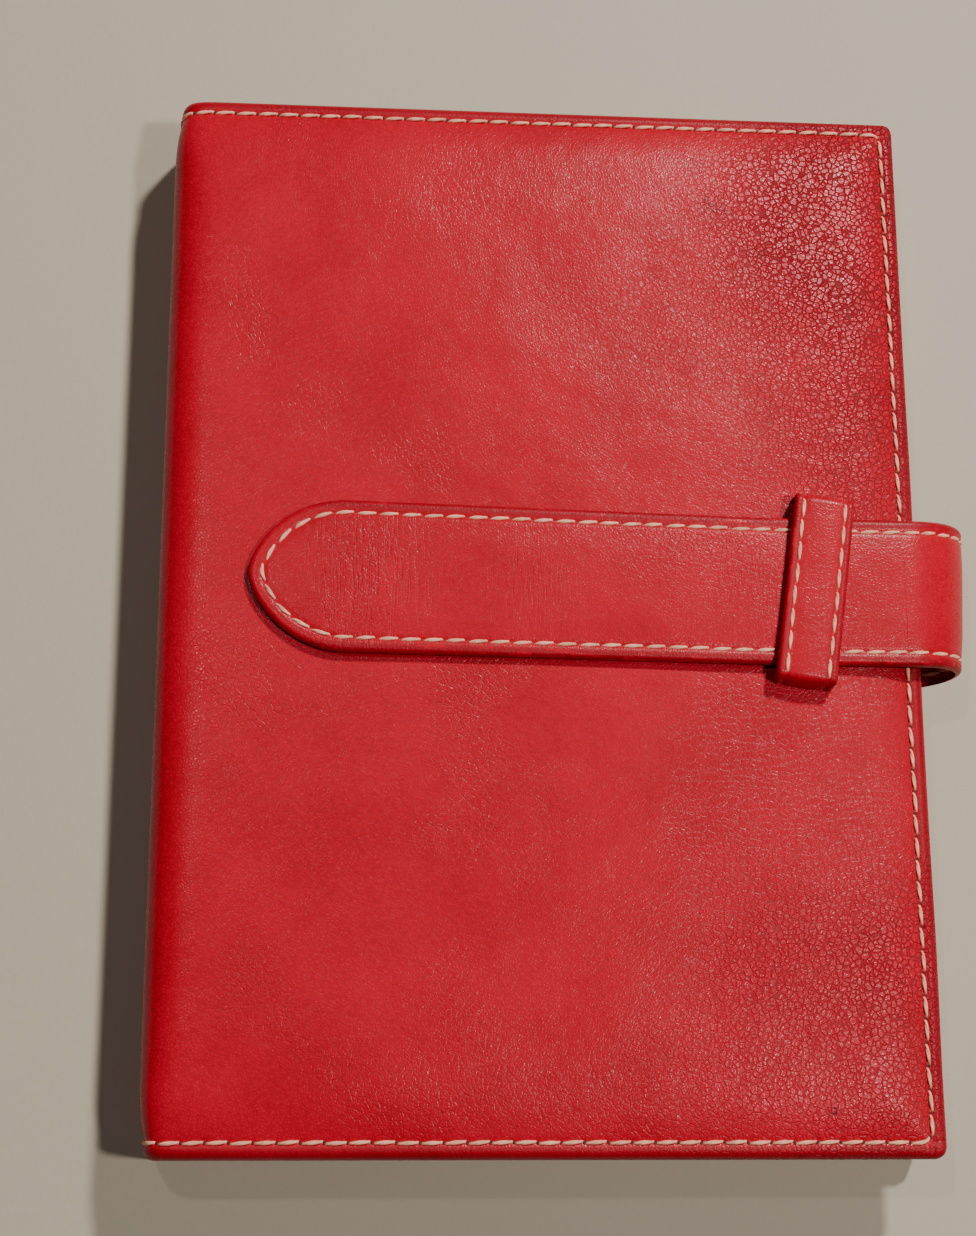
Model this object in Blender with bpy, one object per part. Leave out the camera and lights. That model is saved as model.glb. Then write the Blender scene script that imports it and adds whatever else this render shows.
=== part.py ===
"""A5 notebook cover in padded leather with a wrap-over strap.

The cover lies closed on its back. +Y runs along the spine, +X points from the
spine to the fore edge and +Z points up through the thickness.
"""

import math

import bmesh
import bpy
from mathutils import Matrix, Vector

MM = 0.001

# Driving dimensions
COVER_HEIGHT = 220.0 * MM
COVER_WIDTH = 156.0 * MM
COVER_THICKNESS = 24.0 * MM
STRAP_WIDTH = 31.0 * MM
STRAP_OVERHANG = 11.0 * MM
STRAP_TIP_MARGIN = 18.4 * MM
STRAP_OFFSET_Y = 2.2 * MM
KEEPER_WIDTH = 12.5 * MM
KEEPER_INSET = 22.9 * MM
KEEPER_TILT = math.radians(-8.0)
SPINE_SQUARENESS = 4.0
PAGE_MARGIN = 5.5 * MM

# Sheet thicknesses
LEATHER = 1.2 * MM
FOAM = 1.8 * MM
BOARD = 1.5 * MM
LINING = 0.8 * MM
CARD = 0.6 * MM
STRAP_LEATHER = 1.4 * MM
STRAP_LINING = 1.1 * MM
KEEPER_LEATHER = 1.2 * MM
KEEPER_LINING = 0.6 * MM
NOTEBOOK_TAPE = 0.5 * MM
THREAD_RADIUS = 0.35 * MM

# Clearances
GAP = 0.3 * MM
SLOT_CLEARANCE = 0.3 * MM
INSERT_CLEARANCE = 0.5 * MM
SPINE_CLEARANCE = 1.2 * MM

# Edge profile of a padded panel: the seam runs in a flat band that lies below the padded face
SEAM_DEPTH = 1.4 * MM
SEAM_INSET = 3.2 * MM
BAND_INNER = 5.2 * MM
PUFF_MIDDLE = 7.4 * MM
PUFF_INSET = 10.0 * MM
SLEEVE_WIDTH = 62.0 * MM

# Positions that follow from the driving dimensions
OVERALL_WIDTH = COVER_WIDTH + STRAP_OVERHANG
SPINE_RADIUS = COVER_THICKNESS / 2
SPINE_EDGE_X = -OVERALL_WIDTH / 2
HINGE_X = SPINE_EDGE_X + SPINE_RADIUS
FORE_EDGE_X = SPINE_EDGE_X + COVER_WIDTH
HALF_HEIGHT = COVER_HEIGHT / 2
MIDDLE_Z = COVER_THICKNESS / 2

FOAM_DEPTH = LEATHER + GAP
BOARD_DEPTH = FOAM_DEPTH + FOAM + GAP
LINING_DEPTH = BOARD_DEPTH + BOARD + GAP
WALL_DEPTH = LINING_DEPTH + LINING
CARD_DEPTH = WALL_DEPTH + GAP
SLEEVE_DEPTH = CARD_DEPTH + CARD + GAP
PAGE_DEPTH = SLEEVE_DEPTH + LINING + GAP
INSIDE_EDGE = LEATHER + GAP
SPINE_LINING_DEPTH = SEAM_DEPTH + LEATHER + GAP

INSERT_RIGHT = FORE_EDGE_X - INSIDE_EDGE - INSERT_CLEARANCE
SPINE_HOLLOW = SPINE_RADIUS - SPINE_LINING_DEPTH - LINING
INSERT_LEFT = HINGE_X - math.sqrt(SPINE_HOLLOW**2 - (MIDDLE_Z - CARD_DEPTH) ** 2) + SPINE_CLEARANCE
PAGE_SIDE = HALF_HEIGHT - PAGE_MARGIN

STRAP_THICKNESS = STRAP_LEATHER + GAP + STRAP_LINING
STRAP_ROOT_Z = BOARD_DEPTH + STRAP_LEATHER / 2
STRAP_TOP_Z = COVER_THICKNESS + GAP + STRAP_THICKNESS / 2
STRAP_BEND_X = FORE_EDGE_X + STRAP_OVERHANG - STRAP_THICKNESS / 2
STRAP_START_X = FORE_EDGE_X + 0.5 * MM
STRAP_LAND_X = FORE_EDGE_X - 4.0 * MM
STRAP_SPLIT_X = FORE_EDGE_X - 10.0 * MM
STRAP_TIP_X = SPINE_EDGE_X + STRAP_TIP_MARGIN
STRAP_TAPER = 18.0 * MM
STRAP_SEAM_INSET = 3.0 * MM
TONGUE_LENGTH = 13.5 * MM

SPINE_FOLDS = (45.0, 90.0, 135.0)
STRAP_FOLDS = (30.0, 90.0, 150.0)

RED = (0.42, 0.012, 0.018)
DARK_RED = (0.22, 0.008, 0.012)
CREAM = (0.80, 0.62, 0.50)
FOAM_WHITE = (0.82, 0.80, 0.74)
BOARD_GREY = (0.42, 0.38, 0.32)
PAPER = (0.86, 0.83, 0.74)
CARD_BLACK = (0.05, 0.05, 0.055)
SUEDE = (0.20, 0.06, 0.05)


def clear_scene():
    for item in list(bpy.data.objects):
        bpy.data.objects.remove(item, do_unlink=True)


def new_collection(name):
    group = bpy.data.collections.new(name)
    bpy.context.scene.collection.children.link(group)
    return group


def add_material(item, color, roughness):
    material = bpy.data.materials.new(item.name)
    material.use_nodes = True
    shader = material.node_tree.nodes["Principled BSDF"]
    shader.inputs["Base Color"].default_value = (*color, 1.0)
    shader.inputs["Roughness"].default_value = roughness
    shader.inputs["Metallic"].default_value = 0.0
    item.data.materials.append(material)


def add_object(name, bm, group, color, roughness=0.55, smooth=False):
    bmesh.ops.remove_doubles(bm, verts=bm.verts[:], dist=0.000001)
    bmesh.ops.dissolve_degenerate(bm, dist=0.000001, edges=bm.edges[:])
    bmesh.ops.recalc_face_normals(bm, faces=bm.faces[:])
    for face in bm.faces:
        face.smooth = smooth
    mesh = bpy.data.meshes.new(name)
    bm.to_mesh(mesh)
    bm.free()
    item = bpy.data.objects.new(name, mesh)
    group.objects.link(item)
    add_material(item, color, roughness)
    return item


def add_box(name, low, high, group, color, roughness=0.6):
    bm = bmesh.new()
    bmesh.ops.create_cube(bm, size=1.0)
    size = Vector(high) - Vector(low)
    middle = (Vector(high) + Vector(low)) / 2
    bmesh.ops.scale(bm, vec=size, verts=bm.verts[:])
    bmesh.ops.translate(bm, vec=middle, verts=bm.verts[:])
    return add_object(name, bm, group, color, roughness)


def add_sheet(name, columns, rows, outer, inner, group, color, roughness=0.55):
    """Thicken a grid: outer(i, j) and inner(i, j) place its two faces."""
    bm = bmesh.new()
    bmesh.ops.create_grid(bm, x_segments=columns - 1, y_segments=rows - 1, size=0.5)
    grown = bmesh.ops.extrude_face_region(bm, geom=bm.faces[:])
    inside = {item for item in grown["geom"] if isinstance(item, bmesh.types.BMVert)}
    for vert in bm.verts:
        i = round((vert.co.x + 0.5) * (columns - 1))
        j = round((vert.co.y + 0.5) * (rows - 1))
        place = inner if vert in inside else outer
        vert.co = place(i, j)
    return add_object(name, bm, group, color, roughness, smooth=False)


def add_tube(name, points, group, color):
    curve = bpy.data.curves.new(name + "_path", "CURVE")
    curve.dimensions = "3D"
    curve.bevel_depth = THREAD_RADIUS
    curve.bevel_resolution = 2
    curve.use_fill_caps = True
    spline = curve.splines.new("POLY")
    spline.points.add(len(points) - 1)
    for target, point in zip(spline.points, points):
        target.co = (*point, 1.0)
    carrier = bpy.data.objects.new(name + "_path", curve)
    group.objects.link(carrier)
    bpy.context.view_layer.update()
    depsgraph = bpy.context.evaluated_depsgraph_get()
    mesh = bpy.data.meshes.new_from_object(carrier.evaluated_get(depsgraph))
    bm = bmesh.new()
    bm.from_mesh(mesh)
    bpy.data.objects.remove(carrier, do_unlink=True)
    bpy.data.meshes.remove(mesh)
    return add_object(name, bm, group, color, 0.7, smooth=True)


def cut(item, cutter):
    modifier = item.modifiers.new("Cut " + cutter.name, "BOOLEAN")
    modifier.operation = "DIFFERENCE"
    modifier.solver = "EXACT"
    modifier.object = cutter


def add_cutter(name, low, high, cutters):
    cutter = add_box(name, low, high, cutters, (0.5, 0.5, 0.5))
    cutter.hide_render = True
    cutter.display_type = "WIRE"
    return cutter


def spine_reach(angle):
    """Reach of the squarish spine section from the spine's middle at a turning angle."""
    across = abs(math.sin(angle)) ** SPINE_SQUARENESS
    upright = abs(math.cos(angle)) ** SPINE_SQUARENESS
    return SPINE_RADIUS / (across + upright) ** (1 / SPINE_SQUARENESS)


def cover_point(travel, y, depth, front):
    """Point on a cover half: travel < 0 runs round the spine, > 0 along the panel."""
    if travel < 0:
        angle = -travel / SPINE_RADIUS
        radius = spine_reach(angle) - depth
        x = HINGE_X - radius * math.sin(angle)
        z = MIDDLE_Z - radius * math.cos(angle)
    else:
        x = HINGE_X + travel
        z = depth
    if front:
        z = COVER_THICKNESS - z
    return Vector((x, y, z))


def offset_profile(profile, distance):
    """Offset an open profile of (position, depth) pairs towards greater depth."""
    moved = []
    for index, point in enumerate(profile):
        before = Vector(point) - Vector(profile[index - 1]) if index else None
        after = Vector(profile[index + 1]) - Vector(point) if index + 1 < len(profile) else None
        sides = [Vector((-side.y, side.x)).normalized() for side in (before, after) if side is not None]
        normal = sum(sides, Vector((0.0, 0.0))).normalized()
        reach = distance / max(normal.dot(sides[0]), 0.5)
        moved.append(tuple(Vector(point) + normal * reach))
    return moved


def edge_profile(edge):
    """Outer face of a padded panel towards one edge, ending with the turned wall."""
    return [
        (edge - PUFF_INSET, 0.0),
        (edge - PUFF_MIDDLE, 0.45 * SEAM_DEPTH),
        (edge - BAND_INNER, SEAM_DEPTH),
        (edge - 1.5 * MM, SEAM_DEPTH),
        (edge - 0.45 * MM, SEAM_DEPTH + 0.45 * MM),
        (edge, SEAM_DEPTH + 1.5 * MM),
        (edge, WALL_DEPTH),
    ]


def arc_travel(angle):
    return -math.radians(angle) * SPINE_RADIUS


def add_cover_leather(name, front, group):
    """Padded panel with turned edges and the first stretch of the spine."""
    turns = (SPINE_FOLDS[0], 38.0, 31.0, 23.0, 12.0)
    travels = [arc_travel(angle) for angle in turns] + [0.0, 6.0 * MM]
    travels[0] += GAP / 2
    panel_width = COVER_WIDTH - SPINE_RADIUS
    along = [(travel, 0.0) for travel in travels] + edge_profile(panel_width)
    along_inner = [(travel, LEATHER) for travel in travels] + offset_profile(edge_profile(panel_width), LEATHER)
    half = edge_profile(HALF_HEIGHT)
    half_inner = offset_profile(half, LEATHER)
    across = [(-y, depth) for y, depth in reversed(half)] + half
    across_inner = [(-y, depth) for y, depth in reversed(half_inner)] + half_inner
    rim_limit = SEAM_DEPTH + LEATHER

    def place(u_line, v_line):
        travel, depth_u = u_line
        y, depth_v = v_line
        depth = max(depth_u, depth_v)
        if travel < -1.0 * MM:
            depth = min(depth, rim_limit)
        return cover_point(travel, y, depth, front)

    def outer(i, j):
        return place(along[i], across[j])

    def inner(i, j):
        travel, depth_u = along_inner[i]
        y, depth_v = across_inner[j]
        depth = max(depth_u, depth_v)
        if travel < -1.0 * MM:
            depth = min(depth, rim_limit)
        return cover_point(travel, y, depth, front)

    return add_sheet(name, len(along), len(across), outer, inner, group, RED, 0.45)


def add_spine_strip(name, start, end, front, depth, thickness, inset, recessed, group, color):
    """Strip of the spine between two turning angles."""
    steps = 6
    travels = [start + (end - start) * step / steps for step in range(steps + 1)]
    if recessed:
        half = edge_profile(HALF_HEIGHT)[:5]
        half_inner = offset_profile(half, thickness)
        half_inner[-1] = (HALF_HEIGHT - 0.45 * MM, SEAM_DEPTH + thickness)
    else:
        half = [(HALF_HEIGHT - inset, depth)]
        half_inner = [(HALF_HEIGHT - inset, depth + thickness)]
    across = [(-y, d) for y, d in reversed(half)] + half
    across_inner = [(-y, d) for y, d in reversed(half_inner)] + half_inner

    def outer(i, j):
        y, level = across[j]
        return cover_point(travels[i], y, level, front)

    def inner(i, j):
        y, level = across_inner[j]
        return cover_point(travels[i], y, level, front)

    return add_sheet(name, len(travels), len(across), outer, inner, group, color, 0.5)


def spine_span(low, high):
    """Travel of a spine strip between two angles, with half a gap at each end."""
    return arc_travel(low) - GAP / 2, arc_travel(high) + GAP / 2


def add_layer(name, near, far, side, depth, thickness, front, group, color, roughness=0.8):
    """Flat layer of a panel, from near to far of the hinge line and out to +-side."""
    low = cover_point(near, -side, depth, front)
    high = cover_point(far, side, depth + thickness, front)
    lower = [min(a, b) for a, b in zip(low, high)]
    upper = [max(a, b) for a, b in zip(low, high)]
    return add_box(name, lower, upper, group, color, roughness)


def seam_points(front):
    """Seam of a cover half: along the head, down the fore edge and back along the tail."""
    depth = SEAM_DEPTH - GAP - THREAD_RADIUS
    far = COVER_WIDTH - SPINE_RADIUS - SEAM_INSET
    side = HALF_HEIGHT - SEAM_INSET
    turn = 2.0 * MM
    angles = (38.0, 31.0, 23.0, 12.0)
    head = [(arc_travel(SPINE_FOLDS[0]) + GAP, side)] + [(arc_travel(angle), side) for angle in angles]
    head += [(1.0 * MM, side), (far / 2, side), (far - turn, side)]
    corner = [(far - 0.3 * turn, side - 0.3 * turn), (far, side - turn)]
    upper = head + corner
    lower = [(travel, -y) for travel, y in reversed(upper)]
    return [cover_point(travel, y, depth, front) for travel, y in upper + lower]


def spine_seam_points(low, high, side, front):
    depth = SEAM_DEPTH - GAP - THREAD_RADIUS
    start, end = spine_span(low, high)
    steps = 8
    travels = [start - GAP / 2 + (end - start + GAP) * step / steps for step in range(steps + 1)]
    return [cover_point(travel, side, depth, front) for travel in travels]


def strap_frame(angle):
    """Centre line point and outward normal of the strap's bend at a turning angle."""
    centre_z = (STRAP_ROOT_Z + STRAP_TOP_Z) / 2
    rise = (STRAP_TOP_Z - STRAP_ROOT_Z) / 2
    start_x = STRAP_START_X if angle <= 90.0 else STRAP_LAND_X
    reach = STRAP_BEND_X - start_x
    turn = math.radians(angle)
    phase = math.atan2(reach * math.sin(turn), rise * math.cos(turn))
    point = Vector((start_x + reach * math.sin(phase), 0.0, centre_z - rise * math.cos(phase)))
    normal = Vector((math.sin(turn), 0.0, -math.cos(turn)))
    return point, normal


def strap_frames(first, last, lead=None, trail=None):
    """Frames of one strap piece, with half a gap taken off at each fold."""
    steps = 6
    frames = [strap_frame(first + (last - first) * step / steps) for step in range(steps + 1)]
    if lead is None:
        point, normal = frames[0]
        tangent = Vector((-normal.z, 0.0, normal.x))
        frames[0] = (point + tangent * GAP / 2, normal)
    if trail is None:
        point, normal = frames[-1]
        tangent = Vector((-normal.z, 0.0, normal.x))
        frames[-1] = (point - tangent * GAP / 2, normal)
    else:
        frames.append((Vector((trail, 0.0, frames[-1][0].z)), frames[-1][1]))
    return frames


def add_strap_strip(name, frames, outward, thickness, side, group, color):
    """Strip of the strap whose outer face lies outward of the centre line."""
    def face(level):
        def place(i, j):
            point, normal = frames[i]
            y = STRAP_OFFSET_Y + (side if j else -side)
            return Vector((0.0, y, 0.0)) + point + normal * level
        return place

    return add_sheet(name, len(frames), 2, face(outward), face(outward - thickness), group, color, 0.45)


def tail_outline(inset):
    """Half outline of the strap's tail: straight side, then a rounded point."""
    half = STRAP_WIDTH / 2 - inset
    tip = STRAP_TIP_X + inset
    shoulder = STRAP_TIP_X + STRAP_TAPER
    steps = 10
    points = []
    for step in range(steps + 1):
        turn = math.pi / 2 * step / steps
        x = shoulder - (shoulder - tip) * math.sin(turn)
        points.append((x, half * math.cos(turn) ** 1.65 if step < steps else 0.0))
    return points


def add_tail(name, low_z, high_z, inset, group, color):
    upper = tail_outline(inset)
    lower = [(x, -y) for x, y in reversed(upper[:-1])]
    start = STRAP_SPLIT_X - GAP / 2
    half = STRAP_WIDTH / 2 - inset
    outline = [(start, half)] + upper + lower + [(start, -half)]
    bm = bmesh.new()
    verts = [bm.verts.new((x, STRAP_OFFSET_Y + y, low_z)) for x, y in outline]
    face = bm.faces.new(verts)
    grown = bmesh.ops.extrude_face_region(bm, geom=[face])
    raised = [item for item in grown["geom"] if isinstance(item, bmesh.types.BMVert)]
    bmesh.ops.translate(bm, vec=(0.0, 0.0, high_z - low_z), verts=raised)
    return add_object(name, bm, group, color, 0.45)


def keeper_outline():
    """Half of the keeper's inner face: the flat over the strap, the shoulder and the leg."""
    strap_half = STRAP_WIDTH / 2 / math.cos(KEEPER_TILT) + KEEPER_WIDTH / 2 * abs(math.tan(KEEPER_TILT))
    flat = strap_half + SLOT_CLEARANCE
    top = COVER_THICKNESS + 2 * GAP + STRAP_THICKNESS
    foot = COVER_THICKNESS - BOARD_DEPTH + GAP
    return [
        (0.0, top),
        (flat - 1.0 * MM, top),
        (flat + 0.2 * MM, top - 0.5 * MM),
        (flat + 0.7 * MM, top - 1.7 * MM),
        (flat + 0.7 * MM, foot),
    ]


def add_keeper_strip(name, level, thickness, group, color):
    """Arch over the strap; its legs go down through the front leather and the foam."""
    half = keeper_outline()
    profile = [(-y, z) for y, z in reversed(half[1:])] + half
    inner_line = offset_profile(profile, level)
    outer_line = offset_profile(profile, level + thickness)
    place = Matrix.Translation((FORE_EDGE_X - KEEPER_INSET, STRAP_OFFSET_Y, 0.0))
    place = place @ Matrix.Rotation(KEEPER_TILT, 4, "Z")

    def face(line):
        def point(i, j):
            y, z = line[i]
            x = KEEPER_WIDTH / 2 if j else -KEEPER_WIDTH / 2
            return place @ Vector((x, y, z))
        return point

    return add_sheet(name, len(profile), 2, face(outer_line), face(inner_line), group, color, 0.45)


def add_keeper_cutter(name, side, low_z, high_z, cutters):
    """Slit for one leg of the keeper."""
    leg = keeper_outline()[-1][0]
    stack = KEEPER_LINING + GAP + KEEPER_LEATHER
    middle = side * (leg + stack / 2)
    half_x = KEEPER_WIDTH / 2 + SLOT_CLEARANCE
    half_y = stack / 2 + SLOT_CLEARANCE
    cutter = add_cutter(name, (-half_x, middle - half_y, low_z), (half_x, middle + half_y, high_z), cutters)
    place = Matrix.Translation((FORE_EDGE_X - KEEPER_INSET, STRAP_OFFSET_Y, 0.0))
    cutter.matrix_world = place @ Matrix.Rotation(KEEPER_TILT, 4, "Z")
    return cutter


def add_keeper_thread(name, side, group):
    top = COVER_THICKNESS + 2 * GAP + STRAP_THICKNESS + KEEPER_LINING + GAP + KEEPER_LEATHER
    z = top + THREAD_RADIUS + GAP
    x = side * (KEEPER_WIDTH / 2 - 1.8 * MM)
    reach = keeper_outline()[1][0] - 0.5 * MM
    place = Matrix.Translation((FORE_EDGE_X - KEEPER_INSET, STRAP_OFFSET_Y, 0.0))
    place = place @ Matrix.Rotation(KEEPER_TILT, 4, "Z")
    return add_tube(name, [place @ Vector((x, y, z)) for y in (-reach, 0.0, reach)], group, CREAM)


def build_cover_half(prefix, front, group):
    """Leather, foam, board, lining, pocket sleeve and card of one half."""
    panel = COVER_WIDTH - SPINE_RADIUS
    inside = panel - INSIDE_EDGE
    side = HALF_HEIGHT - INSIDE_EDGE
    leather = add_cover_leather(prefix + "_outer_leather", front, group)
    foam = add_layer(
        prefix + "_foam", 1.0 * MM, panel - PUFF_INSET, HALF_HEIGHT - PUFF_INSET, FOAM_DEPTH, FOAM,
        front, group, FOAM_WHITE,
    )
    board = add_layer(
        prefix + "_board", 1.0 * MM, inside, side, BOARD_DEPTH, BOARD, front, group, BOARD_GREY,
    )
    add_layer(prefix + "_lining", 0.5 * MM, inside, side, LINING_DEPTH, LINING, front, group, SUEDE)
    add_layer(
        prefix + "_pocket_sleeve", panel - INSIDE_EDGE - SLEEVE_WIDTH, inside, side, SLEEVE_DEPTH, LINING,
        front, group, DARK_RED,
    )
    add_tube(prefix + "_seam_thread", seam_points(front), group, CREAM)
    start, end = spine_span(0.0, SPINE_FOLDS[0])
    add_spine_strip(
        "spine_lining_" + prefix, start, end, front, SPINE_LINING_DEPTH, LINING, INSIDE_EDGE, False, group, SUEDE,
    )
    return leather, foam, board


def build_spine_strips(group):
    for name, front in (("low", False), ("high", True)):
        start, end = spine_span(SPINE_FOLDS[0], SPINE_FOLDS[1])
        add_spine_strip("spine_leather_" + name, start, end, front, 0.0, LEATHER, 0.0, True, group, RED)
        add_spine_strip(
            "spine_lining_" + name, start, end, front, SPINE_LINING_DEPTH, LINING, INSIDE_EDGE, False, group, SUEDE,
        )
        for end_name, side in (("head", 1), ("tail", -1)):
            points = spine_seam_points(SPINE_FOLDS[0], SPINE_FOLDS[1], side * (HALF_HEIGHT - SEAM_INSET), front)
            add_tube("spine_thread_" + name + "_" + end_name, points, group, CREAM)


def build_notebook(group):
    """Cards held in the pockets, four page sections and the tape down the back of the block."""
    right = INSERT_RIGHT
    left = INSERT_LEFT
    side = PAGE_SIDE
    card_side = side + 0.5 * MM
    card_low = CARD_DEPTH
    card_high = COVER_THICKNESS - CARD_DEPTH - CARD
    for name, low in (("notebook_back_card", card_low), ("notebook_front_card", card_high)):
        add_box(name, (left, -card_side, low), (right, card_side, low + CARD), group, CARD_BLACK)
    section = (COVER_THICKNESS - 2 * PAGE_DEPTH - 3 * GAP) / 4
    for index in range(4):
        low = PAGE_DEPTH + (3 - index) * (section + GAP)
        name = "page_section_" + str(index + 1)
        add_box(name, (left, -side, low), (right, side, low + section), group, PAPER, 0.9)
    tape_far = left - GAP - NOTEBOOK_TAPE
    tape_near = left - GAP
    halves = (
        ("notebook_tape_back", PAGE_DEPTH, MIDDLE_Z - GAP / 2),
        ("notebook_tape_front", MIDDLE_Z + GAP / 2, COVER_THICKNESS - PAGE_DEPTH),
    )
    for name, low, high in halves:
        add_box(name, (tape_far, -side, low), (tape_near, side, high), group, CARD_BLACK)


def build_strap(group, cutters):
    """Root sewn into the back board, four turns of the bend and the tail; returns the root's cutters."""
    half = STRAP_WIDTH / 2
    low = BOARD_DEPTH
    add_box(
        "strap_root_tongue",
        (FORE_EDGE_X - TONGUE_LENGTH, STRAP_OFFSET_Y - half, low),
        (FORE_EDGE_X + 0.2 * MM, STRAP_OFFSET_Y + half, low + STRAP_LEATHER),
        group,
        RED,
    )
    reach = half + SLOT_CLEARANCE
    slot = add_cutter(
        "root_slot_cutter",
        (FORE_EDGE_X - 3.0 * MM, STRAP_OFFSET_Y - reach, low - SLOT_CLEARANCE),
        (FORE_EDGE_X + 2.0 * MM, STRAP_OFFSET_Y + reach, low + STRAP_LEATHER + SLOT_CLEARANCE),
        cutters,
    )
    notch = add_cutter(
        "board_notch_cutter",
        (FORE_EDGE_X - TONGUE_LENGTH - SLOT_CLEARANCE, STRAP_OFFSET_Y - reach, low - 1.0 * MM),
        (FORE_EDGE_X + 2.0 * MM, STRAP_OFFSET_Y + reach, low + BOARD + 1.0 * MM),
        cutters,
    )
    outer = STRAP_THICKNESS / 2
    lining_face = outer - STRAP_LEATHER - GAP
    bends = (
        ("low", strap_frames(0.0, STRAP_FOLDS[0], lead=True)),
        ("middle_1", strap_frames(STRAP_FOLDS[0], STRAP_FOLDS[1])),
        ("middle_2", strap_frames(STRAP_FOLDS[1], STRAP_FOLDS[2])),
        ("high", strap_frames(STRAP_FOLDS[2], 180.0, trail=STRAP_SPLIT_X + GAP / 2)),
    )
    for name, frames in bends:
        add_strap_strip("strap_leather_" + name, frames, outer, STRAP_LEATHER, half, group, RED)
        add_strap_strip("strap_lining_" + name, frames, lining_face, STRAP_LINING, half, group, DARK_RED)
    top = STRAP_TOP_Z + outer
    middle = top - STRAP_LEATHER
    add_tail("strap_tail_leather", middle, top, 0.0, group, RED)
    add_tail("strap_tail_lining", STRAP_TOP_Z - outer, middle - GAP, 0.0, group, DARK_RED)
    return slot, notch


def build_strap_thread(group):
    """Seam round the tail; it runs out before the keeper so that nothing rubs there."""
    keeper_edge = FORE_EDGE_X - KEEPER_INSET - KEEPER_WIDTH / 2 - 6.0 * MM
    z = STRAP_TOP_Z + STRAP_THICKNESS / 2 + GAP + THREAD_RADIUS
    half = STRAP_WIDTH / 2 - STRAP_SEAM_INSET
    upper = [(keeper_edge, half)] + tail_outline(STRAP_SEAM_INSET)
    lower = [(x, -y) for x, y in reversed(upper[:-1])]
    points = [Vector((x, STRAP_OFFSET_Y + y, z)) for x, y in upper + lower]
    add_tube("strap_tail_thread", points, group, CREAM)


def build_keeper(group, cutters, leather, foam):
    add_keeper_strip("keeper_lining", 0.0, KEEPER_LINING, group, DARK_RED)
    add_keeper_strip("keeper_band", KEEPER_LINING + GAP, KEEPER_LEATHER, group, RED)
    add_keeper_thread("keeper_thread_left", -1, group)
    add_keeper_thread("keeper_thread_right", 1, group)
    low_z = COVER_THICKNESS - BOARD_DEPTH
    for name, side in (("head", 1), ("tail", -1)):
        cutter = add_keeper_cutter("keeper_slit_cutter_" + name, side, low_z, COVER_THICKNESS + 2.0 * MM, cutters)
        cut(leather, cutter)
        cut(foam, cutter)


def main():
    clear_scene()
    parts = new_collection("notebook_cover")
    cutters = new_collection("cutters")
    cutters.hide_render = True
    back_leather, back_foam, back_board = build_cover_half("back", False, parts)
    front_leather, front_foam, front_board = build_cover_half("front", True, parts)
    build_spine_strips(parts)
    build_notebook(parts)
    slot, notch = build_strap(parts, cutters)
    cut(back_leather, slot)
    cut(back_board, notch)
    build_strap_thread(parts)
    build_keeper(parts, cutters, front_leather, front_foam)


main()
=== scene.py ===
"""Looks of the padded leather notebook cover: leather, seams, strap, keeper, linings and paper."""

import math
import random

import bmesh
import bpy
from mathutils import Matrix, Vector, noise


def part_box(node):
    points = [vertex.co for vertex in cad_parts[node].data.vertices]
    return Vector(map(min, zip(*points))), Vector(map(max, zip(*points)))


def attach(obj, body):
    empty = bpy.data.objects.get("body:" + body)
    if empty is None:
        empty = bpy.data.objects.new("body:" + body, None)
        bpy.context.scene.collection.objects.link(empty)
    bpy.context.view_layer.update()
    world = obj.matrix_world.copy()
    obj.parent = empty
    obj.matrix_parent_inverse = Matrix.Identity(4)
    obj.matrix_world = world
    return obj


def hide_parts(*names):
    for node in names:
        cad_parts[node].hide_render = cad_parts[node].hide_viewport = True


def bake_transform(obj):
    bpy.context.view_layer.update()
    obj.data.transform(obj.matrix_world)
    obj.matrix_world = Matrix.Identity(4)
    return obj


bl_info = {
    "name": "Notebook Cover Maker",
    "version": (1, 0, 0),
    "blender": (4, 5, 0),
    "location": "View3D > Sidebar > Cover",
    "description": "Builds the leather, seams, strap and paper of a padded notebook cover",
    "category": "Add Mesh",
}

MM = 0.001
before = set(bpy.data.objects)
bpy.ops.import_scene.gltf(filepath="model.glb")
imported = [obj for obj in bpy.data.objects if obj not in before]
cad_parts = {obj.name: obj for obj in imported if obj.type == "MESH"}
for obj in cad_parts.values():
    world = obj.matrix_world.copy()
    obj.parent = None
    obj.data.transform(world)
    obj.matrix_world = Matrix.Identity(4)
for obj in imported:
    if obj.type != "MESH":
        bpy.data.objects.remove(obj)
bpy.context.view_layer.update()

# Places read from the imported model
BACK_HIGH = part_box("back_outer_leather")[1]
FRONT_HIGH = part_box("front_outer_leather")[1]
SPINE_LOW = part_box("spine_leather_low")[0]
TAIL_LOW, TAIL_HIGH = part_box("strap_tail_leather")
BEND_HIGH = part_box("strap_leather_middle_2")[1]
LINING_LOW, LINING_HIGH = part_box("back_lining")
KEEPER_LOW, KEEPER_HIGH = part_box("keeper_band")
TONGUE_LOW, TONGUE_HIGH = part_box("strap_root_tongue")
TAIL_LINING_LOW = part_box("strap_tail_lining")[0]

SPINE_EDGE_X = SPINE_LOW.x
THICKNESS = FRONT_HIGH.z
RADIUS = THICKNESS / 2
HINGE_X = SPINE_EDGE_X + RADIUS
FORE_X = BACK_HIGH.x
PANEL = FORE_X - HINGE_X
HALF = BACK_HIGH.y
WALL = LINING_HIGH.z

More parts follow.
